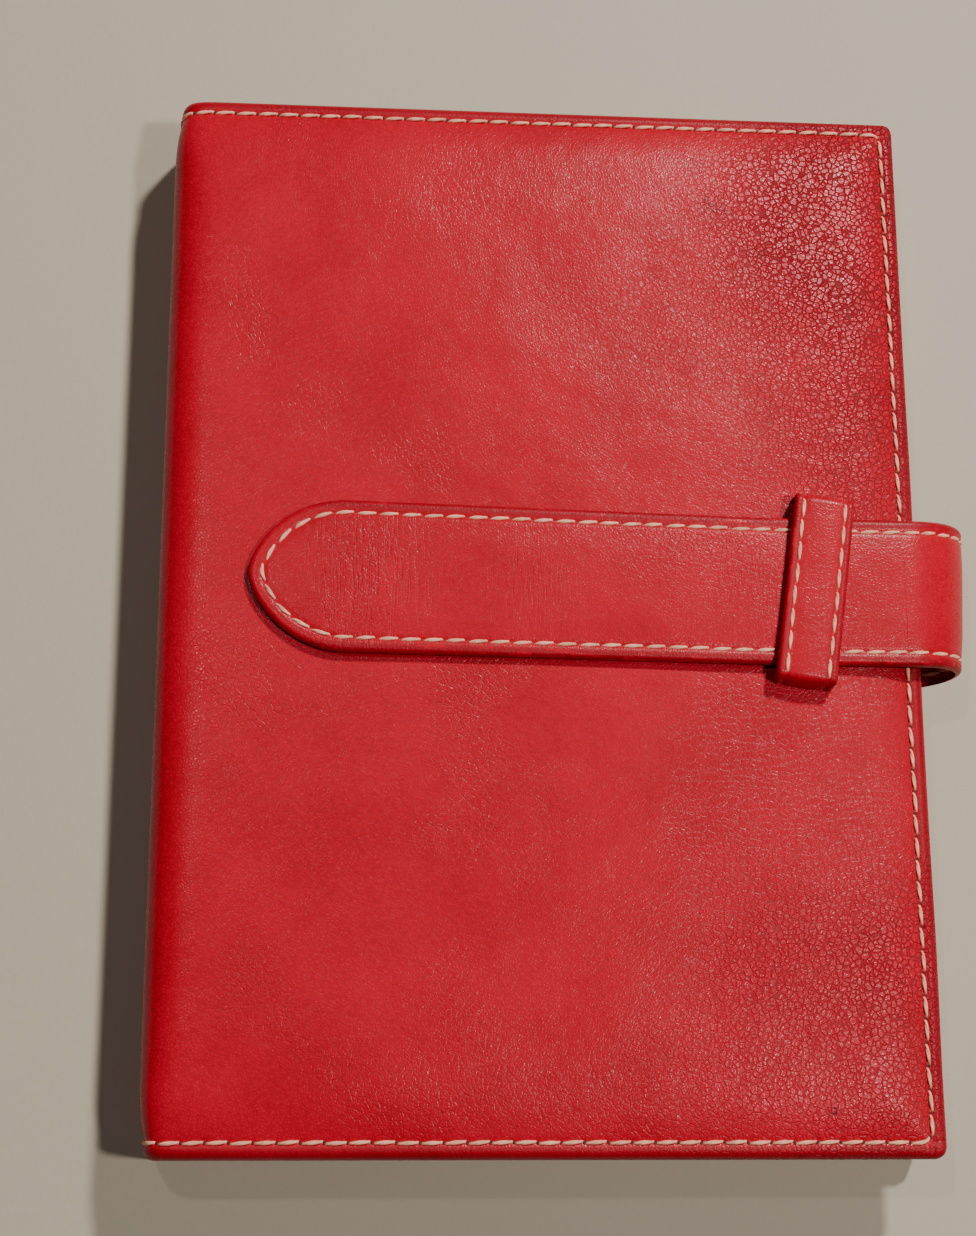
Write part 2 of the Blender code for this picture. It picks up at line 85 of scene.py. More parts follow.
STRAP_Y = (TAIL_LOW.y + TAIL_HIGH.y) / 2
STRAP_HALF = (TAIL_HIGH.y - TAIL_LOW.y) / 2
STRAP_TOP = TAIL_HIGH.z
STRAP_THICK = TAIL_HIGH.z - TAIL_LINING_LOW.z
STRAP_MID = STRAP_TOP - STRAP_THICK / 2
STRAP_ROOT_Z = (TONGUE_LOW.z + TONGUE_HIGH.z) / 2
STRAP_TIP = TAIL_LOW.x
STRAP_LAND = FORE_X - 4.0 * MM
STRAP_START = FORE_X + 0.5 * MM
STRAP_BEND = BEND_HIGH.x - STRAP_THICK / 2
STRAP_TAPER = 20.0 * MM

KEEPER_X = (KEEPER_LOW.x + KEEPER_HIGH.x) / 2
KEEPER_TURN = math.radians(-8.0)
KEEPER_HALF = 6.25 * MM
SQUARENESS = 4.0
SOFT_SQUARENESS = 3.0
SPINE_SPLIT = 60.0  # turning angle where a cover half ends and the middle of the spine starts
LEATHER = 1.0 * MM

# Cross-section of a padded panel towards an edge: distance from the edge and depth below the face, in mm
EDGE_LINES = (
    (15.0, 0.0), (13.5, 0.02), (12.0, 0.06), (10.5, 0.14), (9.2, 0.26), (8.0, 0.40), (7.0, 0.55),
    (6.1, 0.70), (5.3, 0.85), (4.7, 0.98), (4.2, 1.10), (3.85, 1.22), (3.55, 1.36), (3.2, 1.44),
    (2.9, 1.36), (2.6, 1.22), (2.2, 1.13), (1.75, 1.15), (1.3, 1.27), (0.9, 1.48), (0.55, 1.78),
    (0.27, 2.16), (0.09, 2.6), (0.0, 3.1), (0.0, 4.2), (0.0, 5.3), (0.08, 5.8), (0.25, 6.0),
)
SEAM_LINE = 3.2 * MM
SEAM_FLOOR = 1.44 * MM
SEAM_RISE = 0.10 * MM
THREAD_SINK = 0.05 * MM
STRAP_SEAM = 2.8 * MM
KEEPER_SEAM = 1.95 * MM
LINING_INSET = 1.55 * MM
SPINE_DEPTH = 3.5 * MM
GRID_STEP = 1.7 * MM
LEAF_CORNER = 3.0 * MM
GRAIN_DEPTH = 0.12 * MM
SHADED_EDGE_FADE = 1.4 * MM
WELD = 0.002 * MM

LENS = 61.1
CAMERA_X = -0.0427
CAMERA_Y = -0.1105
CAMERA_Z = 0.4325
CAMERA_TURN = (0.2543, -0.0763, -0.0019)
LAMP_COLOR = (1.0, 0.93, 0.85)


def step(low, high, value):
    share = min(max((value - low) / (high - low), 0.0), 1.0)
    return share * share * (3.0 - 2.0 * share)


def spine_section(angle, y):
    """Spine section at a turning angle, squarish at its ends: reach from its middle and outward direction."""
    power = SOFT_SQUARENESS + (SQUARENESS - SOFT_SQUARENESS) * step(HALF - 24 * MM, HALF - 2 * MM, abs(y))
    across, upright = math.sin(angle), math.cos(angle)
    size = (abs(across) ** power + abs(upright) ** power) ** (1 / power)
    lean_x = math.copysign(abs(across) ** (power - 1), across)
    lean_z = math.copysign(abs(upright) ** (power - 1), upright)
    return Vector((-across, 0.0, -upright)) * (RADIUS / size), Vector((-lean_x, 0.0, -lean_z)).normalized()


def cover_place(travel, y, depth, front):
    """Point of a cover half: travel below 0 runs round the spine, above 0 along the panel."""
    if travel < 0:
        reach, outward = spine_section(-travel / RADIUS, y)
        spot = reach - outward * depth
        x = HINGE_X + spot.x
        z = RADIUS + spot.z
    else:
        x = HINGE_X + travel
        z = depth
    return Vector((x, y, THICKNESS - z if front else z))


def turn_travel(degrees):
    return -math.radians(degrees) * RADIUS


def spine_place(degrees, depth=0.0, y=0.0):
    return cover_place(turn_travel(degrees), y, depth, False)


def round_corner(across, along, reach_x, reach_y, radius):
    """Draw a square plan corner in to a quarter round."""
    a = across - (reach_x - radius)
    b = abs(along) - (reach_y - radius)
    if a <= 0 or b <= 0:
        return across, along
    a = min(a, radius)
    b = min(b, radius)
    new_a = a * math.sqrt(1 - b * b / (2 * radius * radius))
    new_b = b * math.sqrt(1 - a * a / (2 * radius * radius))
    return reach_x - radius + new_a, math.copysign(reach_y - radius + new_b, along)


def offset_lines(lines, distance):
    moved = []
    for index, point in enumerate(lines):
        sides = []
        if index:
            sides.append(Vector(point) - Vector(lines[index - 1]))
        if index + 1 < len(lines):
            sides.append(Vector(lines[index + 1]) - Vector(point))
        normals = [Vector((-side.y, side.x)).normalized() for side in sides]
        normal = sum(normals, Vector((0.0, 0.0))).normalized()
        reach = distance / max(normal.dot(normals[0]), 0.6)
        moved.append(tuple(Vector(point) + normal * reach))
    return moved


def run_lengths(lines):
    """Length run along a profile, counted so that it equals the position on its flat part."""
    out = [lines[0][0]]
    for before, after in zip(lines, lines[1:]):
        out.append(out[-1] + (Vector(after) - Vector(before)).length)
    return out


def thick_grid(columns, rows, outer, inner, flat):
    """Grid grown into a closed sheet: outer(i, j) and inner(i, j) give the two faces."""
    bm = bmesh.new()
    bmesh.ops.create_grid(bm, x_segments=columns - 1, y_segments=rows - 1, size=0.5)
    grown = bmesh.ops.extrude_face_region(bm, geom=bm.faces[:])
    inside = {item for item in grown["geom"] if isinstance(item, bmesh.types.BMVert)}
    inner_faces = {item for item in grown["geom"] if isinstance(item, bmesh.types.BMFace)}
    layer = bm.verts.layers.float_vector.new("flat")
    for vert in bm.verts:
        i = round((vert.co.x + 0.5) * (columns - 1))
        j = round((vert.co.y + 0.5) * (rows - 1))
        vert[layer] = flat(i, j)
        if vert in inside:
            vert[layer].z += 0.01
            vert.co = inner(i, j)
        else:
            vert.co = outer(i, j)
    for face in bm.faces:
        face.smooth = True
        face.material_index = 1 if face in inner_faces else 0
    bmesh.ops.remove_doubles(bm, verts=bm.verts[:], dist=WELD)
    bmesh.ops.dissolve_degenerate(bm, dist=WELD, edges=bm.edges[:])
    bmesh.ops.recalc_face_normals(bm, faces=bm.faces[:])
    return bm


def two_faced(columns, rows, spot, flat):
    """Closed sheet whose faces are spot(i, j, True) and spot(i, j, False)."""
    return thick_grid(columns, rows, lambda i, j: spot(i, j, True), lambda i, j: spot(i, j, False), flat)


def make_piece(name, bm, materials):
    mesh = bpy.data.meshes.new(name)
    bm.to_mesh(mesh)
    bm.free()
    piece = bpy.data.objects.new(name, mesh)
    bpy.context.scene.collection.objects.link(piece)
    for material in materials:
        mesh.materials.append(material)
    return piece


# ---------------------------------------------------------------- shader maths


class Field:
    """A number field of a material; arithmetic on it adds Math nodes."""

    def __init__(self, board, socket):
        self.board = board
        self.socket = socket

    def _math(self, operation, *values):
        return self.board.number(operation, *values)

    def __add__(self, other):
        return self._math("ADD", self, other)

    __radd__ = __add__

    def __mul__(self, other):
        return self._math("MULTIPLY", self, other)

    __rmul__ = __mul__

    def __sub__(self, other):
        return self._math("SUBTRACT", self, other)

    def __rsub__(self, other):
        return self._math("SUBTRACT", other, self)


class Board:
    """One material's node board."""

    def __init__(self, name):
        self.material = bpy.data.materials.new(name)
        self.material.use_nodes = True
        self.tree = self.material.node_tree
        self.shader = self.tree.nodes["Principled BSDF"]

    def node(self, kind, settings=None, **inputs):
        """Add a node of a kind, set it up, then fill its sockets by name or by in0, in1 and so on."""
        made = self.tree.nodes.new(kind)
        for key, value in (settings or {}).items():
            setattr(made, key, value)
        for key, value in inputs.items():
            socket = made.inputs[int(key[2:])] if key[:2] == "in" and key[2:].isdigit() else made.inputs[key]
            self.fill(socket, value)
        return made

    def fill(self, socket, value):
        if isinstance(value, Field):
            value = value.socket
        if isinstance(value, bpy.types.NodeSocket):
            self.tree.links.new(value, socket)
        else:
            socket.default_value = value

    def number(self, operation, *values):
        inputs = {f"in{i}": value for i, value in enumerate(values)}
        return Field(self, self.node("ShaderNodeMath", {"operation": operation}, **inputs).outputs[0])

    def vector(self, operation, *values, scale=None):
        inputs = {f"in{i}": v for i, v in enumerate(values)}
        if scale is not None:
            inputs["Scale"] = scale
        return self.node("ShaderNodeVectorMath", {"operation": operation}, **inputs).outputs[0]

    def mix(self, share, one, two):
        made = self.node("ShaderNodeMix", {"data_type": "RGBA"}, in0=share, in6=one, in7=two)
        return made.outputs[2]

    def ramp(self, value, low, high):
        inputs = {"Value": value, "From Min": low, "From Max": high}
        made = self.node("ShaderNodeMapRange", {"interpolation_type": "SMOOTHSTEP"}, **inputs)
        return Field(self, made.outputs[0])

    def noise(self, place, scale, detail=2.0, roughness=0.5):
        inputs = {"Vector": place, "Scale": scale, "Detail": detail, "Roughness": roughness}
        return Field(self, self.node("ShaderNodeTexNoise", None, **inputs).outputs[0])

    def cells(self, place, scale):
        made = self.node("ShaderNodeTexVoronoi", {"feature": "DISTANCE_TO_EDGE"}, Vector=place, Scale=scale)
        return Field(self, made.outputs["Distance"])

    def finish(self, color, roughness, normal):
        """Link the three fields of a finish and return its material."""
        for socket, value in (("Base Color", color), ("Roughness", roughness), ("Normal", normal)):
            self.fill(self.shader.inputs[socket], value)
        return self.material

    def flat_place(self):
        return self.node("ShaderNodeAttribute", {"attribute_name": "flat"}).outputs["Vector"]

    def object_place(self):
        return self.node("ShaderNodeTexCoord").outputs["Object"]

    def bump(self, height, distance, strength=1.0, normal=None):
        inputs = {"Height": height, "Distance": distance, "Strength": strength}
        if normal is not None:
            inputs["Normal"] = normal
        return self.node("ShaderNodeBump", None, **inputs).outputs[0]

    def spot(self, place, centre, radius):
        """1 at a place on the flat leather, fading to 0 at the radius."""
        away = self.node("ShaderNodeVectorMath", {"operation": "DISTANCE"}, in0=place, in1=centre)
        return 1.0 - self.ramp(away.outputs["Value"], 0.0, radius)


def leather_material(name, settings, worn, edges, marks=(), stains=(), folds=()):
    """Pebbled, waxed leather: flat shiny cells with fine creases, wear marks and cross folds; painted shade
    darkens the grain's valleys, the creases, the folds and a band along the edges.

    edges is (middle, reach along, reach across) of the middle kept free of the painted edge shade on the flat
    leather; marks, stains and folds are (place, radius, strength).
    """
    board = Board(name)
    place = board.flat_place()
    wander = board.node("ShaderNodeTexNoise", None, Vector=place, Scale=260.0, Detail=2.0)
    centred = board.vector("SUBTRACT", wander.outputs["Color"], (0.5, 0.5, 0.5))
    warped = board.vector("ADD", place, board.vector("SCALE", centred, scale=0.9 * MM))
    grain_scale = 1.0 / settings.grain_size
    cell = board.cells(warped, grain_scale)
    pebble = board.ramp(cell, 0.0, 0.30)
    fine = board.noise(place, grain_scale * 1.3, 3.0, 0.55)
    creases = 1.0 - board.ramp(board.cells(warped, grain_scale * 0.52), 0.015, 0.13)
    patches = board.ramp(board.noise(place, 26.0, 3.0), 0.44, 0.66)
    worn_mask = patches * worn
    for centre, radius, strength in marks:
        worn_mask = worn_mask + board.spot(place, centre, radius) * strength
    worn_mask = board.number("MINIMUM", worn_mask, 1.0)
    crease_mask = creases * worn_mask
    mottle = board.ramp(board.noise(place, 34.0, 4.0, 0.6), 0.3, 0.72)
    speckle = board.ramp(board.noise(place, 900.0, 2.0), 0.35, 0.7)
    base = board.mix(mottle, settings.leather_deep[:], settings.leather_color[:])
    base = board.mix(speckle * 0.22, base, settings.leather_bright[:])
    # Painted shade: the valleys between the pebbles are darkened towards the shade colour.
    base = board.mix((1.0 - pebble) * 0.30, base, settings.leather_shade_and_stain[:])
    # Painted shade: the crackle creases in the worn spots are darkened strongly.
    base = board.mix(crease_mask * 0.75, base, settings.leather_shade_and_stain[:])
    # Painted shade: a darker band beyond the seam, where the leather rolls over its edges; the band also
    # makes the leather a little rougher.
    split = board.node("ShaderNodeSeparateXYZ", {}, Vector=place)
    along = board.number("ABSOLUTE", Field(board, split.outputs["X"]) - edges[0])
    across = board.number("ABSOLUTE", Field(board, split.outputs["Y"]))
    shaded_edge_bands = [board.ramp(away, edge, edge + SHADED_EDGE_FADE) for away, edge in ((along, edges[1]), (across, edges[2]))]
    shaded_edge_band = board.number("MAXIMUM", *shaded_edge_bands)
    base = board.mix(shaded_edge_band * 0.42, base, settings.leather_shade_and_stain[:])
    height = pebble * 0.15 + fine * 0.065 - crease_mask * 1.1
    blotch = board.ramp(board.noise(place, 800.0, 3.0, 0.6), 0.42, 0.6)
    for centre, radius, strength in stains:
        stain = board.spot(place, centre, radius) * blotch * strength
        base = board.mix(stain, base, settings.leather_shade_and_stain[:])
    stretched = board.vector("MULTIPLY", place, (1.0, 0.07, 1.0))
    ridge = board.number("ABSOLUTE", board.noise(stretched, 620.0, 2.0, 0.6) - 0.5)
    ridge = 1.0 - board.ramp(ridge, 0.0, 0.05)
    for centre, radius, strength in folds:
        fold = ridge * board.spot(place, centre, radius) * strength
        height = height - fold * 1.2
        # Painted shade: the folds' wrinkle lines are darkened as well as sunk.
        base = board.mix(fold * 0.30, base, settings.leather_shade_and_stain[:])
    roughness = 0.20 + fine * 0.04 + (1.0 - pebble) * 0.12 + crease_mask * 0.34 + shaded_edge_band * 0.08
    roughness = roughness - worn_mask * 0.02
    rolling = board.noise(place, 95.0, 3.0)
    soft = board.bump(rolling, 0.45 * MM, 0.55)
    board.shader.inputs["Specular IOR Level"].default_value = 0.20
    return board.finish(base, roughness, board.bump(height, GRAIN_DEPTH, 0.9, soft))


def thread_material(name, settings):
    """Waxed two-ply thread with twist lines and slight soiling."""
    board = Board(name)
    place = board.object_place()
    soil = board.ramp(board.noise(place, 420.0, 3.0), 0.35, 0.75)
    fibre = board.noise(place, 5200.0, 2.0)
    base = board.mix(soil, settings.thread_color[:], settings.thread_shade[:])
    return board.finish(base, 0.55 + fibre * 0.2, board.bump(fibre, 0.06 * MM, 0.6))


# Dark red-brown finish of the needle holes: painted shade in the holes.
def needle_hole_shade_material(name, settings):
    board = Board(name)
    shade = board.ramp(board.noise(board.object_place(), 900.0, 2.0), 0.3, 0.7)
    base = board.mix(shade, (0.07, 0.006, 0.005, 1), (0.15, 0.010, 0.008, 1))
    board.fill(board.shader.inputs["Base Color"], base)
    board.fill(board.shader.inputs["Roughness"], 0.7 + shade * 0.2)
    return board.material


def lining_material(name, color, dark):
    """Fine twill lining."""
    board = Board(name)
    place = board.object_place()
    made = board.node(
        "ShaderNodeTexWave", {"wave_type": "BANDS", "bands_direction": "DIAGONAL"},
        Vector=place, Scale=520.0, Distortion=0.6, Detail=1.0,
    )
    weave = Field(board, made.outputs["Fac"])
    blotch = board.noise(place, 60.0, 3.0)
    fuzz = board.noise(place, 3800.0, 2.0)
    base = board.mix(weave * 0.55 + blotch * 0.3, dark, color)
    return board.finish(base, 0.78 + fuzz * 0.15, board.bump(weave * 0.7 + fuzz * 0.3, 0.08 * MM, 0.8))


def paper_material(name, color, shade):
    board = Board(name)
    place = board.object_place()
    fibre = board.noise(place, 900.0, 4.0, 0.7)
    age = board.ramp(board.noise(place, 22.0, 3.0), 0.3, 0.75)
    base = board.mix(age * 0.35 + fibre * 0.2, color, shade)
    return board.finish(base, 0.82 + fibre * 0.12, board.bump(fibre, 0.03 * MM, 0.5))


def foam_material(name):
    board = Board(name)
    place = board.object_place()
    cells = board.cells(place, 1100.0)
    base = board.mix(board.ramp(cells, 0.0, 0.3), (0.55, 0.53, 0.46, 1), (0.82, 0.80, 0.73, 1))
    return board.finish(base, 0.85 + cells * 0.1, board.bump(cells, 0.2 * MM, 0.7))


def floor_material(name):
    """Plain pale tabletop."""
    board = Board(name)
    place = board.object_place()
    fleck = board.noise(place, 700.0, 3.0, 0.6)
    cloud = board.noise(place, 9.0, 2.0)
    base = board.mix(fleck * 0.5 + cloud * 0.3, (0.45, 0.40, 0.325, 1), (0.53, 0.475, 0.39, 1))
    return board.finish(base, 0.62 + fleck * 0.15, board.bump(fleck, 0.12 * MM, 0.4))


def finish_named(name, make, *args):
    """A finish by name, made once."""
    found = bpy.data.materials.get(name)
    return found if found else make(name, *args)


def on_cover(x, y):
    """Flat leather place of a point given from the fore edge and the middle of the height, in mm."""
    return (PANEL + x * MM, y * MM, 0.0)


COVER_MARKS = (
    (on_cover(-12, 70), 60 * MM, 0.8),
    (on_cover(-6, 95), 45 * MM, 0.8),
    (on_cover(-10, -80), 65 * MM, 0.6),
    (on_cover(-4, 20), 45 * MM, 0.5),
)
COVER_STAINS = (
    (on_cover(-41, 88), 5.0 * MM, 0.75),
    (on_cover(-31, 77), 3.0 * MM, 0.5),
    (on_cover(-44, 97), 4.0 * MM, 0.4),
    (on_cover(-22.5, -101), 1.2 * MM, 1.6),
)


def tail_fold(place, radius, strength):
    """Cross folds on the tail, at a place from its tip, in mm."""
    bend = strap_line(0, 180, 36)
    run = 0.4 + STRAP_START - TONGUE_LOW.x + sum((b[0] - a[0]).length for a, b in zip(bend, bend[1:]))
    return (run + STRAP_LAND - STRAP_TIP - place * MM, 0.0, 0.3), radius * MM, strength


def cover_leather(settings):
    edges = (0.0, PANEL - 3.0 * MM, HALF - 3.0 * MM)
    return finish_named("cover_leather", leather_material, settings, 0.22, edges, COVER_MARKS, COVER_STAINS)


def back_leather(settings):
    edges = (0.0, PANEL - 3.0 * MM, HALF - 3.0 * MM)
    return finish_named("back_leather", leather_material, settings, 0.35, edges)


def strap_leather(settings):
    edges = (0.0, 9.0, STRAP_HALF - 2.6 * MM)
    folds = (tail_fold(24, 22, 0.42), tail_fold(57, 16, 0.34), tail_fold(100, 13, 0.3))
    return finish_named("strap_leather", leather_material, settings, 0.25, edges, (), (), folds)


def keeper_leather(settings):
    edges = (0.8, KEEPER_HALF - 1.9 * MM, 9.0)
    return finish_named("keeper_leather", leather_material, settings, 0.25, edges)


def strap_back(settings):
    return finish_named("strap_lining_leather", leather_material, settings, 0.1, (0.0, 9.0, 9.0))


# ---------------------------------------------------------------- cover leather


def panel_columns():
    """Lines along a cover half, from the spine to the end of the fore edge wall: place, depth."""
    steps = 24
    lines = [(turn_travel(SPINE_SPLIT * (1 - i / steps)), 0.0) for i in range(steps)]
    inner_end = PANEL - EDGE_LINES[0][0] * MM
    count = int(inner_end / GRID_STEP)
    lines += [(inner_end * i / count, 0.0) for i in range(count)]
    lines += [(PANEL - inset * MM, depth * MM) for inset, depth in EDGE_LINES]
    return lines


def panel_rows(extra=()):
    end = HALF - EDGE_LINES[0][0] * MM
    count = int(2 * end / GRID_STEP)
    middle = sorted([-end + 2 * end * i / count for i in range(1, count)] + list(extra))
    edge = [(HALF - inset * MM, depth * MM) for inset, depth in EDGE_LINES]
    return [(-y, depth) for y, depth in reversed(edge)] + [(y, 0.0) for y in middle] + edge


def level_runs(lines, index):
    """Run lengths shifted so that the line at an index keeps its own place."""
    runs = run_lengths(lines)
    shift = runs[index] - lines[index][0]
    return [run - shift for run in runs]


def undulation(x, y, seed, strength):
    """Slow unevenness of the padding, in metres."""
    slow = noise.noise(Vector((x * 22 + seed, y * 22, seed)))
    quick = noise.noise(Vector((x * 55, y * 55 + seed, 3.1)))
    return (slow + 0.5 * quick) * strength


def cover_bm(front, settings):
    columns = panel_columns()
    notch = [STRAP_Y + side * (STRAP_HALF + gap * MM) for side in (-1, 1) for gap in (0.4, 1.1)]
    rows = panel_rows(() if front else notch)
    columns_inner = offset_lines(columns, LEATHER)
    rows_inner = offset_lines(rows, LEATHER)
    flat_u = level_runs(columns, len(columns) - len(EDGE_LINES))
    flat_v = level_runs(rows, len(EDGE_LINES) - 1)
    seed = 4.0 if front else 11.0

    def place(line_u, line_v, inside):
        travel, depth_u = line_u
        y, depth_v = line_v
        base = LEATHER if inside else 0.0
        a = max(depth_u - base, 0.0)
        b = max(depth_v - base, 0.0)
        depth = (a**6 + b**6) ** (1 / 6) + base
        limit = WALL - 0.15 * MM
        limit += (SPINE_DEPTH - limit) * step(1.0 * MM, 8.0 * MM, -travel)
        if not front:
            near = 1 - step(STRAP_HALF + 0.4 * MM, STRAP_HALF + 1.1 * MM, abs(y - STRAP_Y))
            near *= step(PANEL - 3.0 * MM, PANEL - 1.4 * MM, travel)
            limit += (2.4 * MM - limit) * near
        depth = min(depth, limit)
        inset = min(PANEL - travel, HALF - abs(y))
        if not inside:
            calm = step(2.0 * MM, 16.0 * MM, inset)
            if front:
                depth += undulation(travel, y, seed, 0.28 * MM) * calm * step(-6 * MM, 8 * MM, travel)
                depth -= settings.padding * 0.35 * step(4 * MM, 26 * MM, inset)
            else:
                depth = max(depth, 0.0)
        travel, y = round_corner(travel, y, PANEL, HALF, 2.6 * MM)
        wave = 0.22 * MM * noise.noise(Vector((y * 30, seed, 0.3))) * step(PANEL * 0.6, PANEL, travel)
        point = cover_place(travel, y, depth, front)
        point.x += wave
        return point

    def spot(i, j, outside):
        return place(columns[i], rows[j], False) if outside else place(columns_inner[i], rows_inner[j], True)

    def flat(i, j):
        return Vector((flat_u[i], flat_v[j], 0.0 if front else 0.5))

    return two_faced(len(columns), len(rows), spot, flat)


def spine_bm():
    steps = 24
    travels = [turn_travel(SPINE_SPLIT + SPINE_SPLIT * i / steps) for i in range(steps + 1)]
    rows = panel_rows()
    rows_inner = offset_lines(rows, LEATHER)
    flat_v = level_runs(rows, len(EDGE_LINES) - 1)

    def spot(i, j, outside):
        y, depth = rows[j] if outside else rows_inner[j]
        return cover_place(travels[i], y, min(depth, SPINE_DEPTH), False)

    def flat(i, j):
        return Vector((travels[i], flat_v[j], 0.0))

    return two_faced(len(travels), len(rows), spot, flat)


# ---------------------------------------------------------------- stitches


def add_prism(bm, rings, sides, material_index):
    """Closed strand through rings of (centre, side, up, radius)."""
    loops = []
    for centre, side, up, radius in rings:
        loop = []
        for k in range(sides):
            turn = 2 * math.pi * k / sides
            away = side * (radius * math.cos(turn)) + up * (radius * math.sin(turn))
            loop.append(bm.verts.new(centre + away))
        loops.append(loop)
    faces = []
    for one, two in zip(loops, loops[1:]):
        for k in range(sides):
            faces.append(bm.faces.new((one[k], one[(k + 1) % sides], two[(k + 1) % sides], two[k])))
    faces.append(bm.faces.new(list(reversed(loops[0]))))
    faces.append(bm.faces.new(loops[-1]))
    for face in faces:
        face.smooth = True
        face.material_index = material_index


def add_pit(bm, centre, along, side, up, material_index):
    """Needle hole: a small shallow dish on the leather, coloured dark as painted shade in the hole."""
    made = bmesh.ops.create_uvsphere(bm, u_segments=8, v_segments=4, radius=1.0)
    for vert in made["verts"]:
        x, y, z = vert.co
        vert.co = centre + along * (x * 0.34 * MM) + side * (y * 0.27 * MM) + up * (z * 0.08 * MM)
    for face in {face for vert in made["verts"] for face in vert.link_faces}:
        face.smooth = True
        face.material_index = material_index


def walk(points):
    lengths = [0.0]
    for one, two in zip(points, points[1:]):
        lengths.append(lengths[-1] + (two[0] - one[0]).length)
    return lengths


def point_at(points, lengths, distance):
    distance = min(max(distance, 0.0), lengths[-1])
    low, high = 0, len(lengths) - 1
    while high - low > 1:
        middle = (low + high) // 2
        if lengths[middle] <= distance:
            low = middle
        else:
            high = middle
    share = (distance - lengths[low]) / max(lengths[high] - lengths[low], 1e-9)
    place = points[low][0].lerp(points[high][0], share)
    normal = points[low][1].lerp(points[high][1], share).normalized()
    return place, normal


def add_stitches(bm, points, settings, seed, slant):
    """Row of two-ply stitches along (place, outward normal) points."""
    dice = random.Random(seed)
    lengths = walk(points)
    total = lengths[-1]
    count = max(round(total / settings.stitch_pitch), 1)
    pitch = total / count
    length = pitch * 0.92
    radius = settings.thread_width / 2
    rings = 7
    for index in range(count):
        middle = pitch * (index + 0.5) + dice.uniform(-0.12, 0.12) * MM
        bias = dice.uniform(-0.07, 0.07) * MM
        lean = (dice.uniform(-0.06, 0.06) - 0.16) * MM * slant
        ends = []
        for strand in (0, 1):
            stations = []
            for k in range(rings):
                share = k / (rings - 1) * 2 - 1
                here = middle + share * length / 2
                place, normal = point_at(points, lengths, here)
                ahead, _ = point_at(points, lengths, here + 0.2 * MM)
                behind, _ = point_at(points, lengths, here - 0.2 * MM)
                along = (ahead - behind).normalized()
                side = along.cross(normal).normalized()
                arch = math.sqrt(max(1 - share**4, 0.0))
                twist = share * 2.4 + strand * math.pi
                centre = place + side * (bias + lean * share)
                centre += normal * (radius * (1.25 * arch - 0.70))
                swirl = side * (radius * 0.36 * math.cos(twist)) + normal * (radius * 0.24 * math.sin(twist))
                centre += swirl
                stations.append((centre, side, normal, radius * (0.58 + 0.26 * arch)))
            ends = [stations[0], stations[-1]]
            add_prism(bm, stations, 6, 0)
        for (centre, side, normal, _), direction in zip(ends, (-1, 1)):
            along = normal.cross(side)
            place, normal = point_at(points, lengths, middle + direction * (length / 2 + 0.16 * MM))
            place = place + side * (bias + lean * direction)
            add_pit(bm, place - normal * 0.02 * MM, along, side, normal, 1)


def stitch_piece(name, rows, settings):
    """Piece of stitch rows: each row is (points, seed, slant)."""
    bm = bmesh.new()
    for points, seed, slant in rows:
        add_stitches(bm, points, settings, seed, slant)
    bmesh.ops.recalc_face_normals(bm, faces=bm.faces[:])
    thread = finish_named("waxed_thread", thread_material, settings)
    hole_shade = finish_named("needle_hole", needle_hole_shade_material, settings)
    piece = make_piece(name, bm, (thread, hole_shade))
    return piece


def cover_normal(travel, front):
    if travel < 0:
        normal = spine_section(-travel / RADIUS, HALF)[1]
    else:
        normal = Vector((0, 0, -1))
    if front:
        normal.z = -normal.z
    return normal


def cover_seam(front):
    """Seam of a cover half from the spine at the head, round the fore edge, to the spine at the tail."""
    depth = SEAM_FLOOR - SEAM_RISE
    far = PANEL - SEAM_LINE
    side = HALF - SEAM_LINE
    turn = 2.2 * MM
    spots = [(turn_travel(SPINE_SPLIT) * (1 - i / 12), side) for i in range(12)]
    spots += [(far * i / 60, side) for i in range(58)]
    spots = [spot for spot in spots if spot[0] < far - turn]
    for k in range(7):
        angle = math.pi / 2 * k / 6
        spots.append((far - turn + turn * math.sin(angle), side - turn + turn * math.cos(angle)))
    down = [(far, (side - turn) * (1 - i / 60)) for i in range(1, 60)]
    upper = spots + down
    lower = [(travel, -y) for travel, y in reversed(upper)]
    ring = upper + lower
    return [(cover_place(travel, y, depth, front), cover_normal(travel, front)) for travel, y in ring]


def spine_seam(side):
    depth = SEAM_FLOOR - SEAM_RISE
    spots = [turn_travel(SPINE_SPLIT + SPINE_SPLIT * i / 24) for i in range(25)]
    return [(cover_place(t, side * (HALF - SEAM_LINE), depth, False), cover_normal(t, False)) for t in spots]


# ---------------------------------------------------------------- strap


def strap_frame(degrees):
    """Centre line point and outward normal of the strap's bend."""
    centre_z = (STRAP_ROOT_Z + STRAP_MID) / 2
    rise = (STRAP_MID - STRAP_ROOT_Z) / 2
    start = STRAP_START if degrees <= 90.0 else STRAP_LAND
    reach = STRAP_BEND - start
    turn = math.radians(degrees)
    phase = math.atan2(reach * math.sin(turn), rise * math.cos(turn))
    place = Vector((start + reach * math.sin(phase), 0.0, centre_z - rise * math.cos(phase)))
    return place, Vector((math.sin(turn), 0.0, -math.cos(turn)))


def strap_line(first, last, steps):
    """Stations (centre, normal, run, half width) between two turning angles."""
    stations = []
    for i in range(steps + 1):
        place, normal = strap_frame(first + (last - first) * i / steps)
        stations.append((place, normal, STRAP_HALF))
    return stations


def tail_half(x):
    """Half width of the strap's tail at a place along it."""
    into = (STRAP_TIP + STRAP_TAPER) - x
    if into <= 0:
        return STRAP_HALF
    share = min(into / STRAP_TAPER, 1.0)
    return STRAP_HALF * max(1 - share * share, 0.0) ** 0.62


